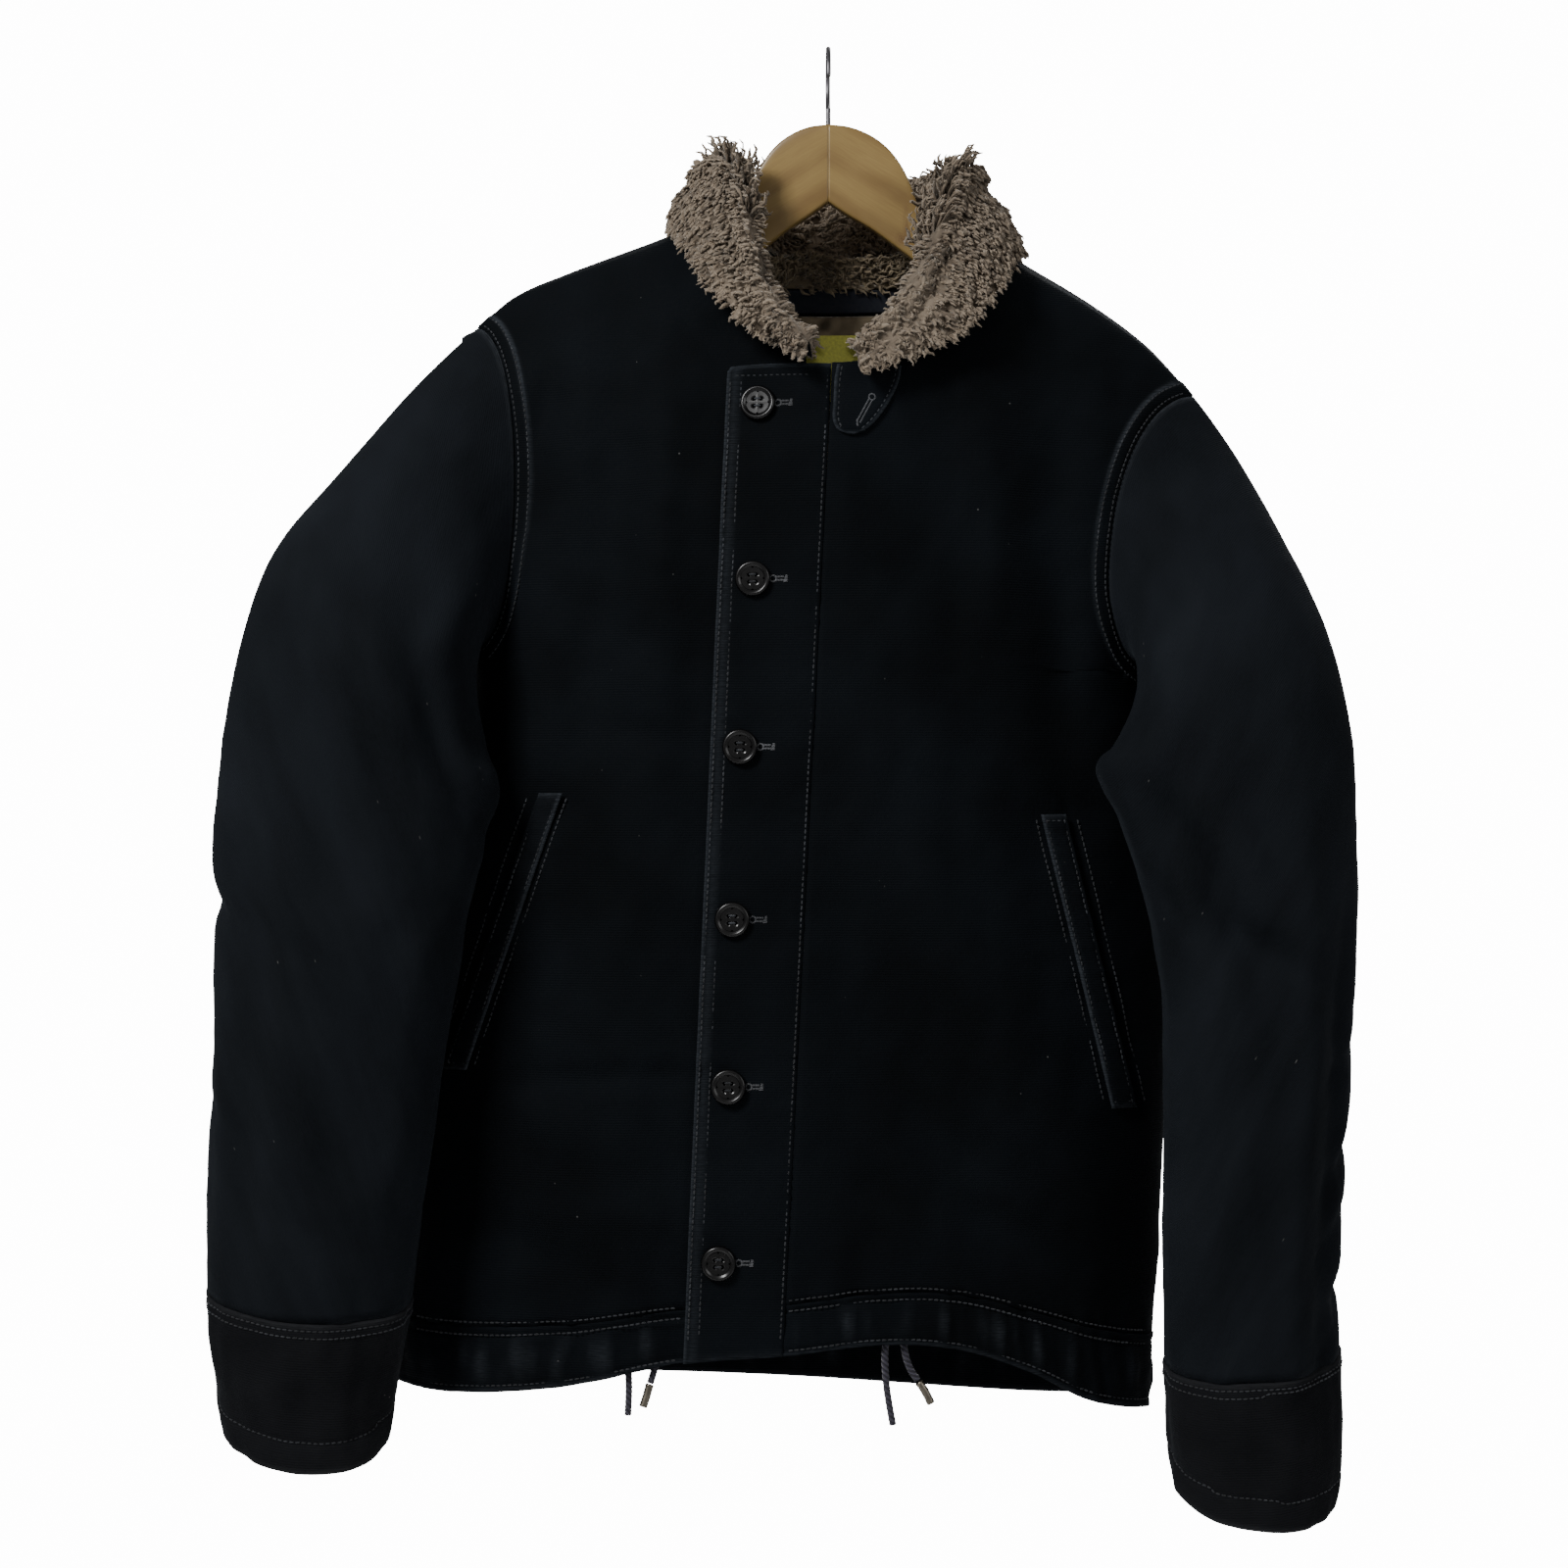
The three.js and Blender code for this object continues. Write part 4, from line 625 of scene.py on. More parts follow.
def wood():
    """Varnished pine: bands of grain along each arm, with a knot on the left arm."""
    n = Nodes("pine")
    uv = n.uv((1, 6, 1))
    warp = n.noise(n.uv((3, 6, 1)), 9, 2, 0.5)
    bands = n.add("TexWave", Vector=uv, wave_type="BANDS", bands_direction="Y", Scale=2.6, Distortion=2.6,
                  Detail=2.0, Detail_Scale=1.4)
    fibre = n.noise(n.uv((60, 900, 1)), 1, 3, 0.6)
    early, late = (0.305, 0.202, 0.066, 1), (0.21, 0.128, 0.04, 1)
    colour = n.blend(n.ramp(bands.outputs["Fac"], 0.15, 0.95), early, late)
    colour = n.blend(n.ramp(warp, 0.35, 0.7, 0, 0.5), colour, (0.37, 0.255, 0.09, 1))
    colour = n.blend(n.ramp(fibre, 0.35, 0.7, 0, 0.35), colour, (0.2, 0.105, 0.028, 1))
    knot = n.value("knot")
    rings = n.add("Math", operation="SINE")
    n.put(rings.inputs[0], n.math("MULTIPLY", knot, 26.0))
    dark = n.math("MULTIPLY", n.ramp(knot, 0.1, 0.9), n.ramp(rings.outputs[0], -1, 1, 0.35, 0.9))
    colour = n.blend(dark, colour, (0.13, 0.055, 0.022, 1))
    n.set(Base_Color=colour, Roughness=n.ramp(fibre, 0.2, 0.8, 0.34, 0.5), Coat_Weight=0.25)
    n.set(Coat_Roughness=0.25, Normal=n.bump(fibre, 0.12, 0.0004))
    return n.material


def plain(name, colour, roughness, metallic=0.0, scale=300, bump=0.2, **more):
    n = Nodes(name)
    grain = n.noise(n.place(), scale, 3, 0.6)
    darker = tuple(c * 0.7 for c in colour[:3]) + (1,)
    n.set(Base_Color=n.blend(n.ramp(grain, 0.3, 0.7), darker, colour), Metallic=metallic)
    n.set(Roughness=n.ramp(grain, 0.2, 0.8, roughness * 0.8, min(1, roughness * 1.2)))
    n.set(Normal=n.bump(grain, bump, 0.0003), **more)
    return n.material


def braid():
    n = Nodes("braid")
    uv = n.uv()
    weave = n.add("TexWave", Vector=uv, wave_type="BANDS", bands_direction="DIAGONAL", Scale=190.0)
    # The weave's grooves are painted darker and its ridges lighter, following its bump: painted shade between
    # the strands.
    colour = n.blend(n.ramp(weave.outputs["Fac"], 0.2, 0.8), (0.012, 0.011, 0.018, 1), (0.05, 0.045, 0.07, 1))
    n.set(Base_Color=colour, Roughness=0.85, Normal=n.bump(weave.outputs["Fac"], 0.9, 0.0008))
    n.set(Sheen_Weight=0.2)
    return n.material


CLOTH_MATERIAL = cloth("cord_cloth", (0.0011, 0.0016, 0.0022, 1), (0.0046, 0.0064, 0.0088, 1),
                       (0.04, 0.046, 0.055, 1), 0.36, 0.74)
# The sleeves' copy of the cloth is lighter than the body's: painted light for the light the sleeves catch as
# they stand forward.
SLEEVE_PAINTED_LIGHT_MATERIAL = cloth("cord_cloth_sleeve_painted_light", (0.0036, 0.0046, 0.006, 1), (0.011, 0.0135, 0.0175, 1),
                        (0.045, 0.05, 0.058, 1), 0.34, 0.66)
# The cuffs' copy is greyer as faded cloth, and lighter than the body's by the same painted light as the
# sleeves' copy.
CUFF_MATERIAL = cloth("cord_cloth_faded_and_painted_light", (0.0042, 0.0046, 0.0056, 1), (0.012, 0.0125, 0.0145, 1),
                      (0.05, 0.052, 0.056, 1), 0.34, 0.66)
# The root colours of both piles are painted shade at the foot of the fibres.
PILE_MATERIAL = pile("wool_pile", (0.03, 0.02, 0.013, 1), (0.178, 0.137, 0.097, 1), (0.355, 0.288, 0.217, 1))
LINING_MATERIAL = pile("lining_pile", (0.04, 0.03, 0.018, 1), (0.2, 0.155, 0.095, 1), (0.34, 0.27, 0.18, 1))
THREAD = thread("thread_dark", (0.009, 0.0105, 0.0135, 1), (0.038, 0.043, 0.052, 1))
GREY_THREAD = thread("thread_grey", (0.07, 0.073, 0.08, 1), (0.16, 0.165, 0.18, 1))
WOOD_MATERIAL = wood()
BUTTON_MATERIAL = plain("button_horn", (0.0026, 0.0024, 0.0026, 1), 0.27, 0.0, 120, 0.04, Coat_Weight=0.08)
WIRE_MATERIAL = plain("steel_wire", (0.2, 0.195, 0.205, 1), 0.42, 1.0, 400, 0.1)
TIP_MATERIAL = plain("cord_tip_metal", (0.35, 0.31, 0.25, 1), 0.35, 1.0, 500, 0.25)
TAPE_MATERIAL = plain("tape_cloth", (0.008, 0.0105, 0.02, 1), 0.85, 0.0, 500, 0.6)
LABEL_MATERIAL = plain("label_cloth", (0.78, 0.76, 0.14, 1), 0.75, 0.0, 700, 0.5)
BRAID_MATERIAL = braid()

# Fronts, back, placket and hem bands

FINE = Noise(11, 46)
MIDDLE = Noise(12, 22)


def detail(x, z, face):
    """Fine unevenness of worn cloth on the body, in millimetres along the surface's normal."""
    shift = np.where(np.asarray(face) < 0, 0.0, 613.0)
    return 0.7 * FINE.at(x + shift, z * 0.7) + 0.27 * MIDDLE.at(x + shift, z) - 0.3


def on_body(x, z, face, off=0.0):
    """Points on the body's finished surface, moved off it."""
    x, z = np.broadcast_arrays(np.asarray(x, float), np.asarray(z, float))
    face = np.broadcast_to(np.asarray(face), x.shape)
    return body_point(x, z, face) + body_normal(x, z, face) * (detail(x, z, face) + off)[..., None]


def neckline(side, share):
    angle = np.radians(90 * (1 - np.abs(share)))
    power = 2 / NECK_POWER
    x = NECK_X + np.sign(share) * side * NECK_HALF * np.cos(angle) ** power
    return x, mix(shoulder_z(NECK_X + side * NECK_HALF), NECK_FRONT_Z, np.sin(angle) ** power)


def neck_share(side, line):
    low, high = -1.0, 1.0
    for _ in range(30):
        share = (low + high) / 2
        x, z = neckline(side, share)
        if side * (x - line(z)) < 0:
            low = share
        else:
            high = share
    return high


def spread_x(share, from_x, to_x, z):
    row = BODY.read(z)
    centre, half = row["centre"], row["half"]
    reach = np.maximum(half, np.maximum(np.abs(from_x - centre), np.abs(to_x - centre)))
    a, b = np.arcsin((from_x - centre) / reach), np.arcsin((to_x - centre) / reach)
    return centre + reach * np.sin(mix(a, b, share))


LOW_ROWS, HIGH_ROWS, FRONT_COLUMNS = 68, 56, 88


def front_xz(name, line):
    side, tip_x, pit_z, _, _ = ARMHOLE[name]
    meet = neck_share(side, line)
    meet_z = neckline(side, meet)[1]
    neck_x, neck_z = neckline(side, 1.0)
    tip_z = shoulder_z(tip_x)
    cells = np.linspace(0, 1, FRONT_COLUMNS)
    xs, zs = [], []
    for i in range(LOW_ROWS + HIGH_ROWS + 1):
        up = (i - LOW_ROWS) / HIGH_ROWS
        if up <= 0:
            at_seam = spread_x(cells, line(SEAM_Z), side_x(SEAM_Z, side), SEAM_Z)
            seam = HEM_FRONT.read(at_seam)["seam"]
            z = mix(seam + SEAM_GAP / 2, pit_z, i / LOW_ROWS)
            x = spread_x(cells, line(z), side_x(z, side), z)
        else:
            arm_x, arm_z, _ = armhole_xz(name, 180 * (1 - up))
            neck_up = (up - 0.5) / 0.5
            level = mix(pit_z, meet_z, up / 0.5)
            if neck_up < 0:
                centre_x, centre_z = line(level), level
            else:
                centre_x, centre_z = neckline(side, mix(meet, 1, neck_up))
            x = spread_x(cells, centre_x, arm_x, arm_z)
            part = (x - centre_x) / (arm_x - centre_x)
            beyond = (x - neck_x) / (tip_x - neck_x)
            arch = np.where(beyond > 0, (shoulder_z(x) - mix(neck_z, tip_z, beyond)) * up**2, 0.0)
            arch[-1] = 0
            z = shoulder_z(x) if up == 1 else mix(centre_z, arm_z, part) + arch
            z = np.minimum(z, shoulder_z(x))
        xs.append(x)
        zs.append(z)
    return np.array(xs), np.array(zs)


def back_top_z(x):
    reach = np.abs(x - NECK_X) / NECK_HALF
    top = shoulder_z(NECK_X + np.sign(x - NECK_X) * NECK_HALF)
    inside = mix(top, NECK_BACK_Z, (1 - np.minimum(reach, 1) ** NECK_POWER) ** (1 / NECK_POWER))
    return np.where(reach >= 1, shoulder_z(x), inside)


def back_columns():
    neck_r, neck_l = NECK_X - NECK_HALF, NECK_X + NECK_HALF
    tip_r, tip_l = ARMHOLE["right"][1], ARMHOLE["left"][1]
    spread = [
        np.linspace(tip_r, neck_r, 41)[:-1], np.linspace(neck_r, neck_l, 41)[:-1],
        np.linspace(neck_l, tip_l, 41),
    ]
    top_x = np.concatenate(spread)
    row = BODY.read(shoulder_z(tip_l))
    angles = np.arcsin((top_x - row["centre"]) / row["half"])
    return top_x, (angles - angles[0]) / (angles[-1] - angles[0])


def back_xz():
    top_x, shares = back_columns()
    (_, tip_rx, pit_r, _, _), (_, tip_lx, pit_l, _, _) = ARMHOLE["right"], ARMHOLE["left"]
    tip_rz, tip_lz = shoulder_z(tip_rx), shoulder_z(tip_lx)
    xs, zs = [], []
    for i in range(LOW_ROWS + HIGH_ROWS + 1):
        up = (i - LOW_ROWS) / HIGH_ROWS
        if up <= 0:
            seam = HEM_BACK.read(spread_x(shares, side_x(SEAM_Z, -1), side_x(SEAM_Z, 1), SEAM_Z))["seam"]
            z = mix(seam + SEAM_GAP / 2, mix(pit_r, pit_l, shares), i / LOW_ROWS)
            x = spread_x(shares, side_x(z, -1), side_x(z, 1), z)
        else:
            ax, az, _ = armhole_xz("right", 180 * (1 + up))
            bx, bz, _ = armhole_xz("left", 180 * (1 + up))
            between = (az + bz) / 2
            x = spread_x(shares, ax, bx, between) + up * (top_x - spread_x(shares, tip_rx, tip_lx, between))
            level = mix(az, bz, (x - ax) / (bx - ax))
            straight = mix(tip_rz, tip_lz, (x - tip_rx) / (tip_lx - tip_rx))
            rise = (back_top_z(x) - straight) * up**2.4
            rise[[0, -1]] = 0
            z = np.minimum(level + rise, np.where(up == 1, back_top_z(x), 1e9))
        xs.append(x)
        zs.append(z)
    return np.array(xs), np.array(zs)


TURNS = np.linspace(0, 360, 181)
HOLE_LINES = {name: armhole_point(name, TURNS) for name in ARMHOLE}


def raised_band(distance, wide, high):
    """The height of a felled seam's band, by the distance from its seam, and how worn its edge is."""
    height = high * ease((wide - distance) / 1.6 + 0.5)
    worn = np.exp(-(((distance - wide + 0.6) / 1.1) ** 2))
    return height, worn


def panel_piece(name, x, z, face, edges, sink=None, base_material=CLOTH_MATERIAL, extra=None):
    """A body panel as a wall, with felled bands along its armholes. edges lists (armhole, column)."""
    face_of = np.full(x.shape, face)
    grid = body_point(x, z, face_of)
    grid[..., 1] += face * SEAM_GAP / 2
    if sink is not None:
        grid[..., 1] += sink(x, z)
    normals = outward(grid_normals(grid), grid, body_middle(grid))
    lift = detail(x, z, face_of) * ease((shoulder_z(x) - z) / 12)
    worn = np.zeros(x.shape)
    for hole, _ in edges:
        height, rubbed = raised_band(distance_to(grid, HOLE_LINES[hole]), 9.5, 0.9)
        lift = lift + height
        near_tip = np.exp(-(((z - shoulder_z(ARMHOLE[hole][1])) / 75) ** 2))
        worn = np.maximum(worn, rubbed * (0.25 + 0.75 * near_tip))
    if extra is not None:
        more, rubbed = extra(x, z)
        lift = lift + more
        worn = np.maximum(worn, rubbed)
    for _, column in edges:
        fade = ease(np.abs(np.arange(x.shape[1]) - column) / 2)
        lift = lift * fade[None, :]
    outer = grid + normals * lift[..., None]
    inner = grid - normals * CLOTH
    up = (np.arange(x.shape[0]) - LOW_ROWS) / HIGH_ROWS
    inner[0, :, 2] = outer[0, :, 2]
    high = up > 0
    nearest = np.minimum(face * outer[high, :, 1], 0.15)
    inner[high, :, 1] = face * np.maximum(face * inner[high, :, 1], nearest)
    inner[-1, :, 1] = outer[-1, :, 1]
    for hole, column in edges:
        turn = 180 * (1 + face * np.clip(up, 0, 1))
        inward = armhole_normal(hole, turn) * -CLOTH
        inner[high, column] = grid[high, column] + inward[high]
        inner[~high, column, 1] = grid[~high, column, 1]
    uv = np.stack([x, z], -1)
    return shell(name, outer, inner, base_material, uv=uv, values={"worn": worn})


right_x, right_z = front_xz("right", underlap_x)
left_x, left_z = front_xz("left", lambda z: seam_x(z) + SEAM_GAP / 2)
back_x, back_z = back_xz()


def seam_pucker(distance, along, high, seed, pitch=9.0):
    """Small uneven puckers across a stitched line."""
    wave = Noise(seed, pitch, 10)
    return high * wave.at(along, along * 0) * np.exp(-((distance / 9) ** 2))


def front_extra(x, z):
    """Puckers at the pocket welts and the hem seam."""
    lift = np.zeros(x.shape)
    worn = np.zeros(x.shape)
    for name, (tx, tz, ex, ez, wide) in WELTS.items():
        length = math.hypot(ex - tx, ez - tz)
        ux, uz = (ex - tx) / length, (ez - tz) / length
        along = (x - tx) * ux + (z - tz) * uz
        beside = (x - tx) * uz - (z - tz) * ux
        within = ease((along + 14) / 14) * ease((length + 14 - along) / 14)
        wrinkle = 0.9 * Noise(31, 26, 12).at(along, beside * 0.25)
        lift += within * wrinkle * np.exp(-((np.abs(beside) / 26) ** 2))
        slot_side = beside if name == "right" else -beside
        lift -= within * 1.6 * np.exp(-(((slot_side - wide * 0.5 - 2.0) / 2.4) ** 2))
    seam = HEM_FRONT.read(x)["seam"]
    lift += seam_pucker(z - seam, x, 0.7, 41)
    return lift, worn


def back_extra(x, z):
    seam = HEM_BACK.read(x)["seam"]
    return seam_pucker(z - seam, x, 0.7, 42), np.zeros(x.shape)


last = FRONT_COLUMNS - 1
pieces = {}
pieces["front_right"] = panel_piece("right_front", right_x, right_z, -1, [("right", last)], underlap_sink,
                                    extra=front_extra)
pieces["front_left"] = panel_piece("left_front", left_x, left_z, -1, [("left", last)], extra=front_extra)
pieces["back"] = panel_piece("back_panel", back_x, back_z, 1, [("right", 0), ("left", back_x.shape[1] - 1)],
                             extra=back_extra)


def placket_piece():
    rows, columns = 200, 26
    foot_x = mix(edge_x(-750), seam_x(-750), np.linspace(0, 1, columns))
    foot = HEM_FRONT.read(foot_x)["edge"]
    across = np.linspace(0, 1, columns)[None, :]
    top = mix(-190.5, -189.5, ease(across * 3))
    z = mix(foot[None, :], top, np.linspace(0, 1, rows)[:, None])
    from_x = edge_x(z)
    # the upper outer corner is rounded
    corner = np.clip((z + 194) / 4, 0, 1)
    from_x = from_x + 3.5 * (1 - np.sqrt(1 - corner**2))
    x = mix(from_x, seam_x(z) - SEAM_GAP / 2, across)
    grid = body_point(x, z, -1)
    normals = outward(grid_normals(grid), grid, body_middle(grid))
    wide = (seam_x(z) - edge_x(z))
    at = across * wide
    lift = detail(x, z, -1) * 0.6
    # the turned edges stand a little proud of the stitched lines
    lift = lift - 0.5 * np.exp(-(((at - 2.2) / 0.9) ** 2)) - 0.55 * np.exp(-(((at - 8.2) / 1.0) ** 2))
    lift = lift - 0.5 * np.exp(-(((wide - at - 1.8) / 0.9) ** 2)) + 0.25
    lift = lift + seam_pucker(at - 5, z, 0.35, 51, 7.0) + seam_pucker(wide - at, z, 0.4, 52, 8.0)
    lift = lift - 0.9 * ease((0.8 - at) / 0.8)
    worn = np.exp(-((at / 1.5) ** 2)) * 0.9 + 0.35 * np.exp(-(((at - 5.2) / 2.2) ** 2))
    worn = np.maximum(worn, 0.7 * np.exp(-(((top - z) / 1.6) ** 2)))
    worn = np.maximum(worn, 0.6 * np.exp(-(((z - foot) / 2.0) ** 2)))
    outer = grid + normals * lift[..., None]
    inner = grid - normals * CLOTH
    inner[..., 0] = outer[..., 0]
    inner[0, :, 2] = outer[0, :, 2]
    uv = np.stack([x, z], -1)
    return shell("placket_strip", outer, inner, CLOTH_MATERIAL, uv=uv, values={"worn": worn})


pieces["placket"] = placket_piece()

BAND_ROWS = 22


def band_piece(name, face, table, from_x, to_x, columns, sink=None, seed=61):
    """The drawcord's casing: a doubled band, with small puckers where the cord gathers it."""
    shares = np.linspace(0, 1, columns)
    row = table.read(spread_x(shares, from_x(SEAM_Z), to_x(SEAM_Z), SEAM_Z))
    down = np.linspace(0, 1, BAND_ROWS)[:, None]
    z = mix(row["edge"][None, :], (row["seam"] - SEAM_GAP / 2)[None, :], down)
    x = spread_x(shares[None, :], from_x(z), to_x(z), z)
    grid = body_point(x, z, np.full(x.shape, face))
    grid[..., 1] += face * SEAM_GAP / 2
    if sink is not None:
        grid[..., 1] += sink(x, z)
    normals = outward(grid_normals(grid), grid, body_middle(grid))
    middle = np.exp(-(((down - 0.47) / 0.3) ** 2))
    gather = Noise(seed, 15, 16).at(x, z * 0.22)
    gather2 = Noise(seed + 1, 7, 12).at(x, z * 0.5)
    ridges = np.sin(down * math.pi * 2.0 + Noise(seed + 2, 120, 8).at(x, z * 0) * 0.8)
    lift = 0.8 * middle + 0.75 * gather * (0.4 + middle) + 0.25 * gather2 + 0.35 * ridges
    lift = lift - 1.2 * np.exp(-(((down - 0.87) / 0.04) ** 2)) - 0.9 * np.exp(-(((down - 0.1) / 0.035) ** 2))
    worn = 0.5 * np.exp(-((down / 0.06) ** 2)) + 0.25 * np.maximum(gather, 0) * middle
    outer = grid + normals * lift[..., None]
    inner = grid - normals * CLOTH
    inner[..., 2] = z
    for column in (0, columns - 1):
        if abs(grid[0, column, 0]) > 150:
            inner[:, column, 1] = grid[:, column, 1]
            outer[:, column] = grid[:, column]
        else:
            inner[:, column, 0] = outer[:, column, 0]
    values = {"worn": np.broadcast_to(worn, x.shape)}
    return shell(name, outer, inner, CLOTH_MATERIAL, uv=np.stack([x, z], -1), values=values)


pieces["hem_right"] = band_piece("right_hem_band", -1, HEM_FRONT, underlap_x, lambda z: side_x(z, -1), 110,
                                 underlap_sink)
pieces["hem_left"] = band_piece("left_hem_band", -1, HEM_FRONT, lambda z: seam_x(z) + SEAM_GAP / 2,
                                lambda z: side_x(z, 1), 110, seed=64)
pieces["hem_back"] = band_piece("back_hem_band", 1, HEM_BACK, lambda z: side_x(z, -1), lambda z: side_x(z, 1),
                                180, seed=67)

# Sleeves


def bent(v):
    return np.sign(v) * np.abs(v) ** (2 / SLEEVE_POWER)


def plain_ring(row, turn):
    c, s = bent(np.cos(np.radians(turn))), bent(np.sin(np.radians(turn)))
    share = (1 + c) / 2
    return np.stack([
        mix(row["in_x"], row["out_x"], share),
        row["y"] - row["deep"] * s,
        mix(row["in_z"], row["out_z"], share) - row["drop"] * s,
    ], -1)


def clear_of_body(points, space):
    seam = BODY.read(points[..., 2])["seam"]
    face = np.where(points[..., 1] > seam, 1, -1)
    centre, half, _, seam, depth, raised = body_section(points[..., 0], points[..., 2], face)
    across, deep = points[..., 0] - centre, points[..., 1] - seam
    wide = np.abs(across) / (half + space)
    far = np.abs(deep) / (depth + raised + space)
    share = np.minimum(1, (wide**PANEL_POWER + far**PANEL_POWER) ** (1 / PANEL_POWER))
    return np.stack([centre + across / share, seam + deep / share, points[..., 2]], -1)


RING_SIDES = 20
SLEEVE_COLUMNS = 140
RING_STEPS = 9
EVEN_SHARES = [0, 1, 1, 1, 0.6, 0.3]
EVEN_PASSES = 30
# Small creases on each sleeve: down, turn, lean, long, wide, high
SLEEVE_FINE = {
    "right": [
        (150, 96, 18, 40, 6, -2.2), (205, 120, 40, 34, 6, -2.4), (262, 70, 62, 36, 6, -2.0),
        (300, 132, 48, 44, 7, -2.4), (365, 30, 80, 40, 6, -2.0), (420, 96, 66, 44, 7, -1.8),
        (520, 60, 84, 40, 6, -1.6), (560, 110, 72, 46, 6, -1.6), (240, 40, 12, 60, 8, 1.8),
    ],
    "left": [
        (170, 84, -20, 44, 6, -2.2), (222, 132, -48, 34, 6, -2.6), (268, 60, -58, 36, 6, -2.4),
        (300, 28, 72, 38, 6, -2.2), (395, 30, 64, 42, 6, -2.6), (455, 34, 58, 44, 6, -2.4),
        (500, 112, -30, 54, 7, -2.0), (560, 52, 80, 40, 6, -1.8), (360, 100, -8, 70, 8, 1.8),
    ],
}


def even_underarm(rings, spaces):
    """Evens out the rings where the underarm leaves the pit, and keeps them off the body."""
    turns = np.arange(RING_SIDES) * 360 / RING_SIDES
    share = 0.5 * ease((80 - np.abs(turns - 190)) / 40)[:, None]
    for _ in range(EVEN_PASSES):
        before = rings.copy()
        for i, even in enumerate(EVEN_SHARES):
            if even:
                around = before[i - 1] + before[i + 1] + np.roll(before[i], 1, 0) + np.roll(before[i], -1, 0)
                moved = clear_of_body(mix(before[i], around / 4, share * even), spaces[i])
                rings[i] = np.where(share > 0, moved, before[i])
    return rings


def ring_walls(name, rings, plain):
    """The inner side of a sleeve's wall, level except at the underarm."""
    turns = np.arange(RING_SIDES) * 360 / RING_SIDES
    across = np.roll(rings, -1, 1) - np.roll(rings, 1, 1)
    along = np.concatenate([rings[1:2] - rings[:1], rings[2:] - rings[:-2], rings[-1:] - rings[-2:-1]])
    normal = unit(np.cross(along, across))
    to_middle = unit(plain.mean(axis=1, keepdims=True) - rings)
    normal *= np.where(np.einsum("ijk,ijk->ij", normal, to_middle) < 0, -1, 1)[..., None]
    underarm = ease((120 - np.abs(turns - 180)) / 40)[None, :, None]
    other = to_middle * np.concatenate([np.ones_like(to_middle[..., :2]),
                                        np.broadcast_to(underarm, to_middle[..., 2:].shape)], -1)
    other = unit(other)
    other[0] = -armhole_normal(name, turns)
    return rings + unit(normal * 0.5 * underarm + other) * CLOTH


def finer(rings):
    """Smooth rings and columns through a coarse tube."""
    closed = np.concatenate([rings[:, -1:], rings, rings[:, :2]], axis=1)
    steps = SLEEVE_COLUMNS // RING_SIDES
    count = (RING_SIDES + 2) * steps + 1
    round_ = through(closed, count)[:, steps:steps + SLEEVE_COLUMNS]
    rows = (len(rings) - 1) * RING_STEPS + 1
    return through(round_.transpose(1, 0, 2), rows).transpose(1, 0, 2)


def sleeve_grid(name):
    side = ARMHOLE[name][0]
    turns = np.arange(RING_SIDES) * 360 / RING_SIDES
    holes = armhole_point(name, turns)
    tip, pit = holes[0], holes[RING_SIDES // 2]
    start = (tip[0], tip[2], pit[0], pit[2], (tip[1] + pit[1]) / 2, 56, 0, 1)
    rows = [start, *SLEEVE[name]]
    centres = np.array([((r[0] + r[2]) / 2, (r[1] + r[3]) / 2) for r in rows])
    down = np.concatenate([[0], np.cumsum(np.linalg.norm(np.diff(centres, axis=0), axis=1))])
    table = Table("place out_x out_z in_x in_z y deep drop hole down",
                  [(i, *row, down[i]) for i, row in enumerate(rows)])
    exact = {key: table.rows[:, k, None] for k, key in enumerate(table.names)}
    own = holes - plain_ring({key: value[0] for key, value in exact.items()}, turns)
    spaces = mix(SLEEVE_SPACE, CLOTH + 1.2, exact["hole"])
    rings = plain_ring(exact, turns[None, :]) + own[None] * exact["hole"][..., None]
    rings[1:] = clear_of_body(rings[1:], spaces[1:])
    off = unit(np.cross(np.roll(holes, -1, 0) - np.roll(holes, 1, 0), armhole_normal(name, turns)))
    off = off * np.where(off[:, :1] * side < 0, -1, 1)
    rings[0] = holes + off * 3 * SEAM_GAP
    plain = rings.copy()
    rings = even_underarm(rings, spaces)
    base, base_inner = finer(rings), finer(ring_walls(name, rings, plain))
    turns = np.arange(SLEEVE_COLUMNS) * 360 / SLEEVE_COLUMNS
    read = table.read(np.linspace(0, len(rows) - 1, len(base)))
    read = {key: value[:, None] for key, value in read.items()}
    hole = np.clip(read["hole"], 0, 1)
    radial = np.stack([side * np.cos(np.radians(turns)), -np.sin(np.radians(turns)), turns * 0], -1)
    height = 0.0
    for creases in (SLEEVE_CREASES[name], np.array(SLEEVE_FINE[name], float)):
        height = height + crease_height(
            creases,
            lambda c: (((turns[None, :] - c[1] + 180) % 360) - 180) * 1.1,
            lambda c: c[0] - read["down"],
        )
    noise = 0.55 * FINE.at(turns[None, :] * 1.1 + 900 * side, read["down"] * 0.6)
    noise = noise + 0.2 * MIDDLE.at(turns[None, :] * 1.1, read["down"])
    grid = base + radial[None] * ((height + noise) * (1 - hole))[..., None]
    fine_holes = armhole_point(name, turns)
    off = unit(np.cross(np.roll(fine_holes, -1, 0) - np.roll(fine_holes, 1, 0), armhole_normal(name, turns)))
    off = off * np.where(off[:, :1] * side < 0, -1, 1)
    seam = fine_holes + off * 2.4 * SEAM_GAP
    grid = grid + (seam - grid[0])[None] * (1 - ease(read["place"] / 0.7))[..., None]
    cleared = clear_of_body(grid, mix(SLEEVE_SPACE, CLOTH + 1.2, hole) * ease(read["place"]))
    grid[1:] = cleared[1:]
    return grid, grid + base_inner - base, read, turns


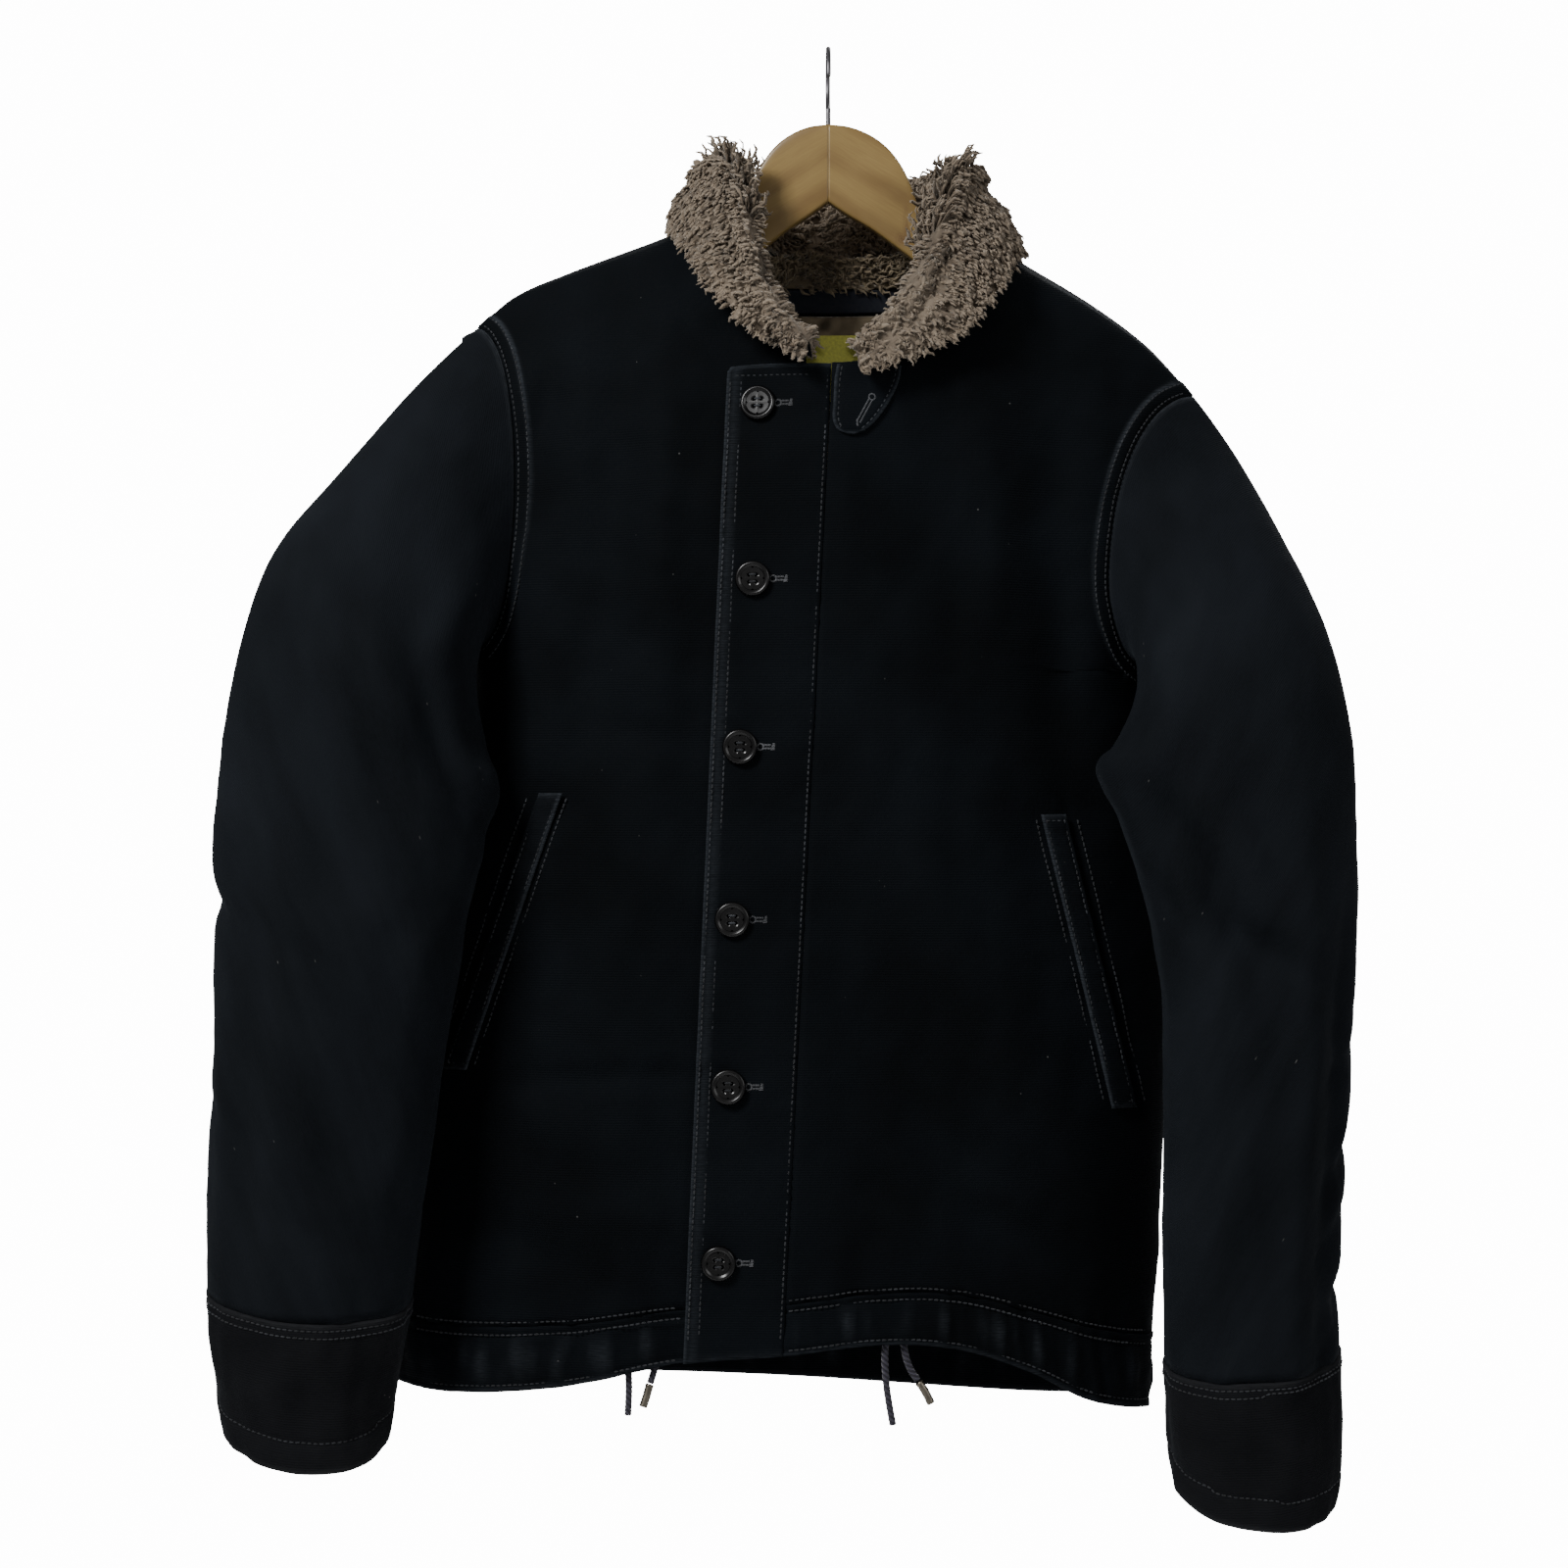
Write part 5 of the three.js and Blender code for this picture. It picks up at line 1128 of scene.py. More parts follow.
def inward_by_level(grid, thick):
    middle = grid.mean(axis=1, keepdims=True)
    inward = middle - grid
    inward[..., 2] = 0
    return grid + unit(inward) * thick


def tube_uv(grid):
    across = np.linalg.norm(np.roll(grid, -1, 1) - grid, axis=2)
    u = np.cumsum(across, axis=1)
    v = np.cumsum(np.linalg.norm(np.gradient(grid, axis=0), axis=2), axis=0)
    return np.stack([u, v], -1)


def sleeve_pieces(name):
    grid, inner, _, turns = sleeve_grid(name)
    cut = (len(SLEEVE[name]) + 1 - CUFF_RINGS) * RING_STEPS
    worn = np.zeros(grid.shape[:2])
    distance = distance_to(grid[:14], HOLE_LINES[name])
    tipness = np.exp(-((np.minimum(turns, 360 - turns) / 50) ** 2))[None, :]
    worn[:14] = np.exp(-(((distance - 1.0) / 1.4) ** 2)) * (0.2 + 0.8 * tipness)
    uv = tube_uv(grid)
    sleeve = shell(f"{name}_sleeve", grid[:cut + 1], inner[:cut + 1], SLEEVE_PAINTED_LIGHT_MATERIAL, True, uv[:cut + 1],
                   {"worn": worn[:cut + 1]})
    # the cuff: a doubled end, stitched near its edge
    rings = grid[cut:].copy()
    rings[0, :, 2] -= SEAM_GAP
    fine = np.linspace(0, len(rings) - 1, 46)
    lower, part = np.floor(fine).astype(int), fine % 1
    upper = np.minimum(lower + 1, len(rings) - 1)
    rings = rings[lower] * (1 - part)[:, None, None] + rings[upper] * part[:, None, None]
    radial = -unit(inward_by_level(rings, 1) - rings)
    along = (rings[0, :, 2][None, :] - rings[..., 2])
    to_edge = rings[..., 2] - rings[-1, :, 2][None, :]
    ring_noise = Noise(81, 26, 14).at(turns[None, :] * 1.05, along * 0.5)
    lift = 0.5 * ring_noise + 0.9 * ease(along / 2.0)
    lift = lift - 0.9 * np.exp(-(((along - 3.4) / 1.0) ** 2)) - 1.0 * np.exp(-(((to_edge - 17) / 1.2) ** 2))
    lift = lift + 0.5 * np.exp(-(((to_edge - 8) / 6) ** 2)) - 0.7 * ease((1.0 - to_edge) / 1.0)
    outer = rings + radial * lift[..., None]
    cuff_inner = rings - radial * CLOTH
    cuff_inner[-1, :, 2] = outer[-1, :, 2]
    cuff_worn = 0.55 * np.exp(-((to_edge / 2.2) ** 2)) + 0.4 * np.exp(-(((along - 1.0) / 1.3) ** 2))
    cuff = shell(f"{name}_cuff", outer, cuff_inner, CUFF_MATERIAL, True, tube_uv(outer), {"worn": cuff_worn})
    return sleeve, cuff, grid, outer


sleeve_faces, cuff_faces = {}, {}
for hole_name in ARMHOLE:
    sleeve, cuff, sleeve_faces[hole_name], cuff_faces[hole_name] = sleeve_pieces(hole_name)
    pieces[f"sleeve_{hole_name}"], pieces[f"cuff_{hole_name}"] = sleeve, cuff

# Collar


def collar_lines(rows):
    row = COLLAR.read(np.linspace(0, 14, rows))
    neck, fold, edge = (np.stack([row[k + "x"], row[k + "y"], row[k + "z"]], -1) for k in "nfe")
    up = unit(fold - neck)
    out = edge - neck
    out = unit(out - up * np.einsum("ij,ij->i", out, up)[:, None])
    round_ = np.minimum(FOLD_ROUND, np.linalg.norm(edge - fold, axis=1) * 0.3)[:, None]

    def at(outward_by, up_by):
        return fold + out * outward_by * round_ + up * up_by * round_

    fall = at(2, -1.1)
    line = np.stack([
        neck, mix(neck, at(0, -1.1), 0.5), at(0, -1.1), at(0.3, -0.35), at(1, 0), at(1.7, -0.35), fall,
        mix(fall, edge, 0.5) + up * round_ * 0.3, edge,
    ], 1)
    return line, np.cross(up, out), (round_ / FOLD_ROUND)[:, 0]


def collar_grid(rows, columns, depth):
    line, across, share = collar_lines(rows)
    line = through(line, columns)
    along = np.gradient(line, axis=1)
    inward = unit(np.cross(across[:, None, :], along))
    return line + inward * (depth * share)[:, None, None], -inward


COLLAR_ROWS, COLLAR_COLUMNS = 110, 52
collar_face, collar_out = collar_grid(COLLAR_ROWS, COLLAR_COLUMNS, 2.6)
collar_inner, _ = collar_grid(COLLAR_ROWS, COLLAR_COLUMNS, PILE)


def arc_lengths(grid):
    u = np.cumsum(np.linalg.norm(np.gradient(grid, axis=0), axis=2), axis=0)
    v = np.cumsum(np.linalg.norm(np.gradient(grid, axis=1), axis=2), axis=1)
    return np.broadcast_to(u.mean(axis=1, keepdims=True), u.shape), v


cu, cv = arc_lengths(collar_face)
clumps = Noise(91, 11, 30).at(cu, cv) + 0.7 * Noise(92, 5.5, 30).at(cu, cv)
collar_base = collar_face + collar_out * (1.3 * clumps)[..., None]
# The ground's height value is low and follows its clumps, so the pile material paints shade at its foot and in
# the hollows between clumps.
pieces["collar"] = shell("collar_pile_ground", collar_base, collar_inner, PILE_MATERIAL,
                         uv=np.stack([cu, cv], -1),
                         values={"high": 0.2 + 0.12 * clumps, "tone": np.full(cu.shape, 0.5)})
under_out, _ = collar_grid(COLLAR_ROWS, COLLAR_COLUMNS, PILE + SEAM_GAP)
under_in, _ = collar_grid(COLLAR_ROWS, COLLAR_COLUMNS, PILE + SEAM_GAP + UNDER_COLLAR)
pieces["under_collar"] = shell("under_collar_cloth", under_out, under_in, CLOTH_MATERIAL,
                               uv=np.stack([cu, cv], -1), values={"worn": np.zeros(cu.shape)})


def locks(name, roots, normals, lie, length, wide, seed, material, wave=1.0, rise=0.5):
    """Tapered wavy locks of wool on a surface. lie is the direction in which each lock leans."""
    own = np.random.default_rng(seed)
    count, steps, sides = len(roots), 5, 3
    lie = unit(lie - normals * np.einsum("ij,ij->i", lie, normals)[:, None])
    beside = np.cross(normals, lie)
    s = np.linspace(0, 1, steps)[None, :]
    lengths = length * own.uniform(0.6, 1.35, (count, 1))
    phase, turns = own.uniform(0, 2 * math.pi, (count, 1)), own.uniform(0.8, 1.7, (count, 1))
    swing = wave * own.uniform(0.5, 1.3, (count, 1)) * np.sin(2 * math.pi * turns * s + phase) * (0.25 + s)
    swing = swing - swing[:, :1]
    high = lengths * rise * own.uniform(0.6, 1.4, (count, 1)) * np.sin(s * math.pi * 0.62)
    high = high - 1.4 * (1 - s)
    path = (roots[:, None] + lie[:, None] * (lengths * s)[..., None] + beside[:, None] * swing[..., None]
            + normals[:, None] * high[..., None])
    radius = wide * own.uniform(0.7, 1.3, (count, 1)) * np.array([0.95, 1.2, 1.1, 0.8, 0.3])[None, :]
    angles = own.uniform(0, 2 * math.pi, (count, 1, 1)) + np.arange(sides)[None, None] * 2 * math.pi / sides
    ring = beside[:, None, None] * np.cos(angles)[..., None]
    ring = ring + normals[:, None, None] * np.sin(angles)[..., None]
    points = path[:, :, None] + ring * radius[..., None, None]
    base = (np.arange(count) * steps * sides)[:, None, None]
    i, j = np.meshgrid(np.arange(steps - 1), np.arange(sides), indexing="ij")
    a = base + (i * sides + j)[None]
    b = base + (i * sides + (j + 1) % sides)[None]
    quads = np.stack([a, b, b + sides, a + sides], -1).reshape(-1, 4)
    tops = base[:, 0] + (steps - 1) * sides + np.arange(sides)[None]
    bottoms = base[:, 0] + np.arange(sides)[::-1][None]
    tone = np.repeat(own.uniform(0, 1, count) ** 2, steps * sides)
    # level runs from root to tip; the pile material paints shade at the root end.
    level = np.broadcast_to(s[..., None], (count, steps, sides)).ravel()
    return new_piece(name, points.reshape(-1, 3), [quads, tops, bottoms], material,
                     values={"high": level, "tone": tone})


def scatter(grid, normals, spacing, seed, lean):
    """Roots over a grid of points, evenly by area, each with its lie and its share of rows and columns."""
    own = np.random.default_rng(seed)
    du = np.linalg.norm(np.gradient(grid, axis=0), axis=2)
    dv = np.linalg.norm(np.gradient(grid, axis=1), axis=2)
    chance = (du * dv).ravel()
    count = int(chance.sum() / spacing**2)
    picked = own.choice(len(chance), count, p=chance / chance.sum())
    i, j = np.unravel_index(picked, du.shape)
    i1, j1 = np.minimum(i + 1, du.shape[0] - 1), np.minimum(j + 1, du.shape[1] - 1)
    a, b = own.uniform(0, 1, (2, count, 1))
    roots = mix(mix(grid[i, j], grid[i1, j], a), mix(grid[i, j1], grid[i1, j1], a), b)
    along = unit(np.gradient(grid, axis=1))[i, j]
    across = unit(np.gradient(grid, axis=0))[i, j]
    swirl = lean.at(i * 3.0, j * 2.0)[:, None] * 1.1 + own.normal(0, 0.45, (count, 1))
    lie = along * np.cos(swirl) + across * np.sin(swirl)
    return roots, normals[i, j], lie, i / (grid.shape[0] - 1), j / (grid.shape[1] - 1)


roots, root_normals, lie, _, part = scatter(collar_base, collar_out, 2.15, 101, Noise(102, 70, 12))
down_side = part > 0.45
pile_outside = locks("collar_pile_fall", roots[down_side], root_normals[down_side], lie[down_side], 5.4, 1.25,
                     103, PILE_MATERIAL, 1.3, 0.24)
pile_inside = locks("collar_pile_stand", roots[~down_side], root_normals[~down_side], -lie[~down_side], 6.2,
                    1.05, 104, PILE_MATERIAL, 1.3, 0.34)

# Longer tufts stand on the fold beside the wood, on both sides of the neck
TUFTS = [(2.3, 3.9), (10.3, 11.8)]
roots, root_normals, lie, row_share, part = scatter(collar_base, collar_out, 2.4, 105, Noise(106, 40, 12))
row_place = row_share * 14
tufted = sum((row_place > low) & (row_place < high) for low, high in TUFTS) * (part > 0.2) * (part < 0.5) > 0
tufts = locks("collar_tufts", roots[tufted], root_normals[tufted], lie[tufted], 8.5, 1.1, 107,
              PILE_MATERIAL, 1.8, 0.95)

# Pieces inside the neck


def lined(name, x0, x1, z0, z1, near, far, rows, columns, material, bulge=None, values=None):
    """A piece that lines the inside of the back."""
    x, z = np.meshgrid(np.linspace(x0, x1, columns), np.linspace(z0, z1, rows))
    surface = body_point(x, z, np.ones_like(x))
    surface[..., 1] += SEAM_GAP / 2
    inward = -body_normal(x, z, np.ones_like(x))
    more = 0 if bulge is None else bulge(x, z)
    outer = surface + inward * (CLOTH + np.broadcast_to(far + more, x.shape))[..., None]
    inner = surface + inward * (CLOTH + near)
    tags = {"worn": np.zeros(x.shape)} if values is None else values(x, z)
    return shell(name, outer, inner, material, uv=np.stack([x, z], -1), values=tags), outer, inward


LINING_CLUMPS = Noise(111, 10, 26)
# The lining's height value is low and follows its clumps, so the pile material paints shade at its foot and in
# the hollows between clumps.
lining_piece, lining_face, lining_in = lined(
    "neck_pile_ground", -72, 84, -232, -146, 1, 4.2, 40, 74, LINING_MATERIAL,
    lambda x, z: 0.7 * LINING_CLUMPS.at(x, z),
    lambda x, z: {"high": 0.3 + 0.2 * LINING_CLUMPS.at(x, z), "tone": np.full(x.shape, 0.4)},
)
pieces["neck_lining"] = lining_piece
lining_roots, lining_normals, lining_lie, _, _ = scatter(lining_face, lining_in, 2.5, 112, Noise(113, 60, 12))
below_label = (np.abs(lining_roots[:, 0] - 6) > 38) | (lining_roots[:, 2] < -200)
bare = below_label & (lining_roots[:, 2] < -150)
lining_locks = locks("neck_pile_locks", lining_roots[bare], lining_normals[bare], lining_lie[bare], 7, 1.0,
                     114, LINING_MATERIAL, 1.2, 0.3)
# A low height value paints shade on this ground at the foot of its locks.
stand, stand_face, stand_in = lined(
    "neck_pile_above_tape", -48, 58, -130, -113, 0.8, 3, 16, 70, LINING_MATERIAL,
    values=lambda x, z: {"high": np.full(x.shape, 0.35), "tone": np.full(x.shape, 0.4)},
)
stand_roots, stand_normals, stand_lie, _, _ = scatter(stand_face, stand_in, 2.2, 115, Noise(116, 60, 12))
stand_locks = locks("neck_pile_upper_locks", stand_roots, stand_normals, stand_lie, 7, 1.0, 117,
                    LINING_MATERIAL, 1.2, 0.3)
pieces["neck_tape"], _, _ = lined("neck_tape_strip", -52, 62, -144, -131, 1, 2.6, 14, 60, TAPE_MATERIAL)
pieces["label"], _, _ = lined("neck_label", -26, 38, -194, -156, 6, 6.9, 30, 50, LABEL_MATERIAL)


# Pieces on the fronts

def laid_on_front(name, x, z, near, high, material, worn):
    face = np.full(x.shape, -1)
    surface = body_point(x, z, face)
    surface[..., 1] -= SEAM_GAP / 2
    normals = body_normal(x, z, face)
    outer = surface + normals * (high + detail(x, z, face) * 0.5)[..., None]
    inner = surface + normals * near
    return shell(name, outer, inner, material, uv=np.stack([x, z], -1), values={"worn": worn})


def welt_piece(name):
    tx, tz, ex, ez, wide = WELTS[name]
    rows, columns = 90, 18
    along, across = np.meshgrid(np.linspace(0, 1, rows), np.linspace(-0.5, 0.5, columns), indexing="ij")
    x, z = mix(tx, ex, along) + across * wide, mix(tz, ez, along)
    inner_side = across + 0.5 if name == "right" else 0.5 - across
    # inner_side is 0 at the pocket's slot and 1 at the stitched edge
    to_slot, to_edge = inner_side * wide, (1 - inner_side) * wide
    length = math.hypot(ex - tx, ez - tz)
    to_end = np.minimum(along, 1 - along) * length
    high = 2.8 - 0.45 * np.exp(-(((to_edge - 2.2) / 0.8) ** 2))
    high = high - 0.4 * np.exp(-(((to_slot - 1.8) / 0.8) ** 2))
    high = high - 0.4 * np.exp(-(((to_end - 3.5) / 1.0) ** 2)) - 0.8 * ease((0.7 - to_edge) / 0.7)
    high = high + 0.3 * Noise(121, 12, 10).at(along * length, across * 4)
    worn = 0.9 * np.exp(-((to_edge / 1.7) ** 2)) + 0.6 * np.exp(-((to_end / 2.0) ** 2)) + 0.06
    return laid_on_front(f"{name}_welt", x, z, 0.8, high, CLOTH_MATERIAL, np.clip(worn, 0, 1))


for welt_name in WELTS:
    pieces[f"welt_{welt_name}"] = welt_piece(welt_name)


def tab_piece():
    rows, columns = 50, 36
    place, across = np.meshgrid(np.linspace(0, 4, rows), np.linspace(-1, 1, columns), indexing="ij")
    row = TAB.read(place)
    x, z = row["x"] + across * row["half"], row["z"]
    rim = np.minimum((1 - np.abs(across)) * row["half"], (4 - place) * 8.0)
    high = 2.8 - 0.5 * np.exp(-(((rim - 3.0) / 0.9) ** 2)) - 0.9 * ease((0.8 - rim) / 0.8)
    worn = np.clip(0.9 * np.exp(-((rim / 1.4) ** 2)), 0, 1)
    return laid_on_front("throat_tab_tongue", x, z, 0.8, high, CLOTH_MATERIAL, worn)


pieces["throat_tab"] = tab_piece()

# Buttons


def frame_at(x, z, face=-1):
    """Two directions along the body's surface at a place, and the one off it."""
    normal = body_normal(np.float64(x), np.float64(z), np.int64(face))
    up = unit(np.array([0, 0, 1.0]) - normal * normal[2])
    return np.cross(up, normal) * -1, up, normal


def lathe(profile, sides):
    profile = np.array(profile, float)
    angle = np.arange(sides) * 2 * math.pi / sides
    points = np.stack([
        profile[:, 0, None] * np.cos(angle), profile[:, 0, None] * np.sin(angle),
        np.broadcast_to(profile[:, 1, None], (len(profile), sides)),
    ], -1)
    i, j = np.meshgrid(np.arange(len(profile)), np.arange(sides), indexing="ij")
    nxt, below = (j + 1) % sides, (i + 1) % len(profile)
    quads = np.stack([i * sides + j, i * sides + nxt, below * sides + nxt, below * sides + j], -1)
    return points.reshape(-1, 3), quads.reshape(-1, 4)


def button_piece(number, x, z):
    """A four-hole button with a raised rim, as a disc with its holes left open."""
    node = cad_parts[f"button_{number}"]
    low, high = (np.array(c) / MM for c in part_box(node.name))
    right, up, normal = frame_at(x, z)
    middle = (low + high) / 2
    sides, holes = 48, 4
    # the rim, turned; its inner bore is filled by the pierced middle
    rim = [(10, 0.4), (10.0, 2.0), (9.5, 3.2), (8.9, 3.75), (8.3, 3.8), (7.6, 3.45), (7.1, 2.9), (6.6, 2.75),
           (6.4, 0.2), (9.4, 0)]
    points, quads = lathe(rim, sides)
    parts_points, parts_quads = [points], [quads]
    offset = len(points)
    # the pierced middle: each quarter is a ring round one hole, spread out to the quarter's edge
    for k in range(holes):
        turn = math.radians(45 + 90 * k)
        centre = np.array([math.cos(turn), math.sin(turn)]) * 2.9
        angle = np.arange(24) * 2 * math.pi / 24
        inner_ring = centre + 1.05 * np.stack([np.cos(angle), np.sin(angle)], -1)
        reach = np.stack([np.cos(angle), np.sin(angle)], -1)
        steps = np.linspace(0.05, 9, 180)
        outer_ring = np.zeros((24, 2))
        for m in range(24):
            ray = centre + reach[m] * steps[:, None]
            inside = (np.linalg.norm(ray, axis=1) < 6.55)
            inside &= (ray @ np.array([math.cos(turn), math.sin(turn)])) > np.abs(
                ray @ np.array([-math.sin(turn), math.cos(turn)])) - 0.02
            outer_ring[m] = ray[np.where(inside)[0][-1]]
        levels = [(outer_ring, 2.75), (mix(inner_ring, outer_ring, 0.25), 2.72), (inner_ring, 2.45),
                  (inner_ring, 0.3), (outer_ring, 0.2)]
        ring_points = np.concatenate([np.column_stack([r, np.full(24, h)]) for r, h in levels])
        i, j = np.meshgrid(np.arange(5), np.arange(24), indexing="ij")
        nxt, below = (j + 1) % 24, (i + 1) % 5
        parts_points.append(ring_points)
        ring_quads = np.stack([i * 24 + j, below * 24 + j, below * 24 + nxt, i * 24 + nxt], -1).reshape(-1, 4)
        parts_quads.append(ring_quads + offset)
        offset += len(ring_points)
    local = np.concatenate(parts_points)
    foot = middle - normal * 1.9
    world = foot + local[:, :1] * right + local[:, 1:2] * up + local[:, 2:] * normal
    piece = new_piece(f"front_button_{number}", world, [np.concatenate(parts_quads)], BUTTON_MATERIAL,
                      flat_from=len(quads))
    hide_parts(node.name)
    return foot, right, up, normal


def bars(name, starts, ends, normals, wide, high, material):
    """Short rounded stitches from start to end points, lying on a surface."""
    count = len(starts)
    along = unit(ends - starts)
    beside = np.cross(normals, along)
    stations = np.array([(0.0, 0.35, -0.25), (0.22, 1.0, 0.75), (0.78, 1.0, 0.75), (1.0, 0.35, -0.25)])
    section = np.array([(-1, -0.3), (-0.55, 0.75), (0.55, 0.75), (1, -0.3)])
    rings = []
    for share, size, lift in stations:
        centre = mix(starts, ends, share) + normals * (high * lift * 0.6)
        ring = [centre + beside * (a * size * wide / 2) + normals * (b * size * high) for a, b in section]
        rings.append(np.stack(ring, 1))
    points = np.stack(rings, 1)
    base = (np.arange(count) * 16)[:, None, None]
    i, j = np.meshgrid(np.arange(3), np.arange(4), indexing="ij")
    a = base + (i * 4 + j)[None]
    b = base + (i * 4 + (j + 1) % 4)[None]
    quads = np.stack([a, b, b + 4, a + 4], -1).reshape(-1, 4)
    first, final = np.array([[3, 2, 1, 0]]), np.array([[12, 13, 14, 15]])
    caps = np.concatenate([base[:, 0] + first, base[:, 0] + final])
    return new_piece(name, points.reshape(-1, 3), [quads, caps], material)


for number, (bx, bz) in enumerate(BUTTONS, 1):
    foot, right, up, normal = button_piece(number, bx, bz)
    # thread in two bars between the holes
    a = [(-2.05, 2.05), (-2.05, -2.05)]
    b = [(2.05, 2.05), (2.05, -2.05)]
    starts = np.array([foot + right * p + up * q + normal * 2.7 for p, q in a for _ in range(2)])
    ends = np.array([foot + right * p + up * q + normal * 2.7 for p, q in b for _ in range(2)])
    starts[::2] += up * 0.35
    ends[::2] += up * 0.35
    sewn = bars(f"button_thread_{number}", starts, ends, np.tile(normal, (4, 1)), 0.7, 0.5, THREAD)

# Stitching


def along_line(points, pitch, length):
    """Starts and ends of stitches along a line of points."""
    step = np.linalg.norm(np.diff(points, axis=0), axis=1)
    travelled = np.concatenate([[0], np.cumsum(step)])
    at = np.arange(0.5, travelled[-1] - length, pitch)

    def place(distance):
        return np.stack([np.interp(distance, travelled, points[:, k]) for k in range(3)], -1)

    return place(at), place(at + length)


def stitch_run(points, normals_of, pitch=3.3, length=2.5):
    starts, ends = along_line(points, pitch, length)
    return starts, ends, normals_of((starts + ends) / 2)


def front_normals(points, face=-1):
    return body_normal(points[:, 0], points[:, 2], np.full(len(points), face))


runs = []


def front_line(x, z, off, face=-1):
    line = on_body(x, z, np.full(np.shape(x), face), off)
    runs.append(stitch_run(line, lambda p: front_normals(p, face)))


levels = np.linspace(-738, -199, 240)
front_line(edge_x(levels) + 2.2, levels, -0.15)
front_line(edge_x(levels) + 8.2, levels, -0.15)
levels = np.linspace(-737, -194, 240)
front_line(seam_x(levels) - 1.9, levels, -0.1)
top_x_line = np.linspace(edge_x(-196) + 4, seam_x(-196) - 3, 40)
front_line(top_x_line, np.full(40, -196.0), -0.1)
for welt_name, (tx, tz, ex, ez, wide) in WELTS.items():
    sign = 1 if welt_name == "right" else -1
    share = np.linspace(0.015, 0.985, 80)
    for across, off in ((0.5 * wide - 2.0, 2.35), (-0.5 * wide + 1.8, 2.35), (-0.5 * wide - 7.0, 0.15),
                        (0.5 * wide + 3.0, 0.2)):
        front_line(mix(tx, ex, share) + sign * across, mix(tz, ez, share), off + SEAM_GAP / 2)
    for share_end in (0.022, 0.978):
        across = np.linspace(-0.42, 0.42, 12) * wide
        front_line(mix(tx, ex, share_end) + across, np.full(12, mix(tz, ez, share_end)), 2.5)
place = np.linspace(0.1, 3.7, 50)
row = TAB.read(place)
for sign in (-1, 1):
    front_line(row["x"] + sign * (row["half"] - 3), row["z"], 2.45)
for _, table, face, x0, x1 in (
    ("right", HEM_FRONT, -1, -236, edge_x(-735) - 2), ("left", HEM_FRONT, -1, seam_x(-735) + 2, 184),
    ("back", HEM_BACK, 1, -238, 178),
):
    x = np.linspace(x0, x1, 160)
    row = table.read(x)
    front_line(x, row["seam"] + 2.2, 0.25, face)
    front_line(x, mix(row["edge"], row["seam"], 0.87), 0.35, face)
    front_line(x, mix(row["edge"], row["seam"], 0.1), 0.1, face)
for hole_name, (side, tip_x, pit_z, _, _) in ARMHOLE.items():
    for inset in (1.8, 7.6):
        for turns in (np.linspace(8, 168, 160), np.linspace(352, 192, 160)):
            x, z, face = armhole_xz(hole_name, turns)
            slope_x, slope_z = np.gradient(x), np.gradient(z)
            size = np.hypot(slope_x, slope_z)
            nx, nz = -slope_z / size, slope_x / size
            turned = np.where(nx * -side < 0, -1, 1)
            x, z = x + nx * turned * inset, z + nz * turned * inset
            front_line(x, z, 0.95, int(face[0]))
starts, ends, run_normals = (np.concatenate([run[k] for run in runs]) for k in range(3))
seam_stitches = bars("seam_stitches", starts, ends, run_normals, 0.9, 0.42, THREAD)

ring_runs = []
for hole_name in ARMHOLE:
    cuff_grid = cuff_faces[hole_name]
    normals = -unit(inward_by_level(cuff_grid, 1) - cuff_grid)
    for target, from_top in ((3.4, True), (17.0, False), (7.0, True)):
        distance = (cuff_grid[0, :, 2][None] - cuff_grid[..., 2]) if from_top else (
            cuff_grid[..., 2] - cuff_grid[-1, :, 2][None])
        row_at = np.abs(distance - target).argmin(axis=0)
        column = np.arange(cuff_grid.shape[1])
        line = cuff_grid[row_at, column] + normals[row_at, column] * 0.1
        line = np.concatenate([line, line[:1]])
        middle = cuff_grid.reshape(-1, 3).mean(axis=0)

        def radial_normals(points, middle=middle):
            away = points - middle
            away[:, 2] = 0
            return unit(away)

        ring_runs.append(stitch_run(line, radial_normals))
starts, ends, run_normals = (np.concatenate([run[k] for run in ring_runs]) for k in range(3))
cuff_stitches = bars("cuff_stitches", starts, ends, run_normals, 0.9, 0.42, THREAD)


def buttonhole(x, z, turn, length, off):
    """Zigzag thread along both sides of a slot, with a round eye at one end and a bar at the other."""
    turn = math.radians(turn)
    ax, az = math.cos(turn), math.sin(turn)
    starts, ends = [], []
    for side in (-1, 1):
        for t in np.arange(0, length, 0.8):
            near, far = side * 0.35, side * 1.55
            starts.append((x + ax * t - az * near, z + az * t + ax * near))
            ends.append((x + ax * t - az * far, z + az * t + ax * far))
    for angle in np.arange(0, 360, 24):
        c, s = math.cos(math.radians(angle)), math.sin(math.radians(angle))
        starts.append((x - ax * 1.6 + c * 1.2, z - az * 1.6 + s * 1.2))
        ends.append((x - ax * 1.6 + c * 2.3, z - az * 1.6 + s * 2.3))
    for t in np.linspace(-1.7, 1.7, 5):
        starts.append((x + ax * (length + t * 0.35), z + az * length + t))
        ends.append((x + ax * (length + 2.2), z + az * length + t * 0.9))
    starts, ends = np.array(starts), np.array(ends)
    at = [on_body(p[:, 0], p[:, 1], np.full(len(p), -1), off) for p in (starts, ends)]
    return at[0], at[1], front_normals((at[0] + at[1]) / 2)


holes = [buttonhole(x + 13.0, z, 0, 4.5, 0.25) for x, z in BUTTONS]
holes.append(buttonhole(22.5, -211, -118, 15, 2.9))
starts, ends, run_normals = (np.concatenate([h[k] for h in holes]) for k in range(3))
hole_thread = bars("buttonhole_thread", starts, ends, run_normals, 0.62, 0.42, GREY_THREAD)

# Hanger


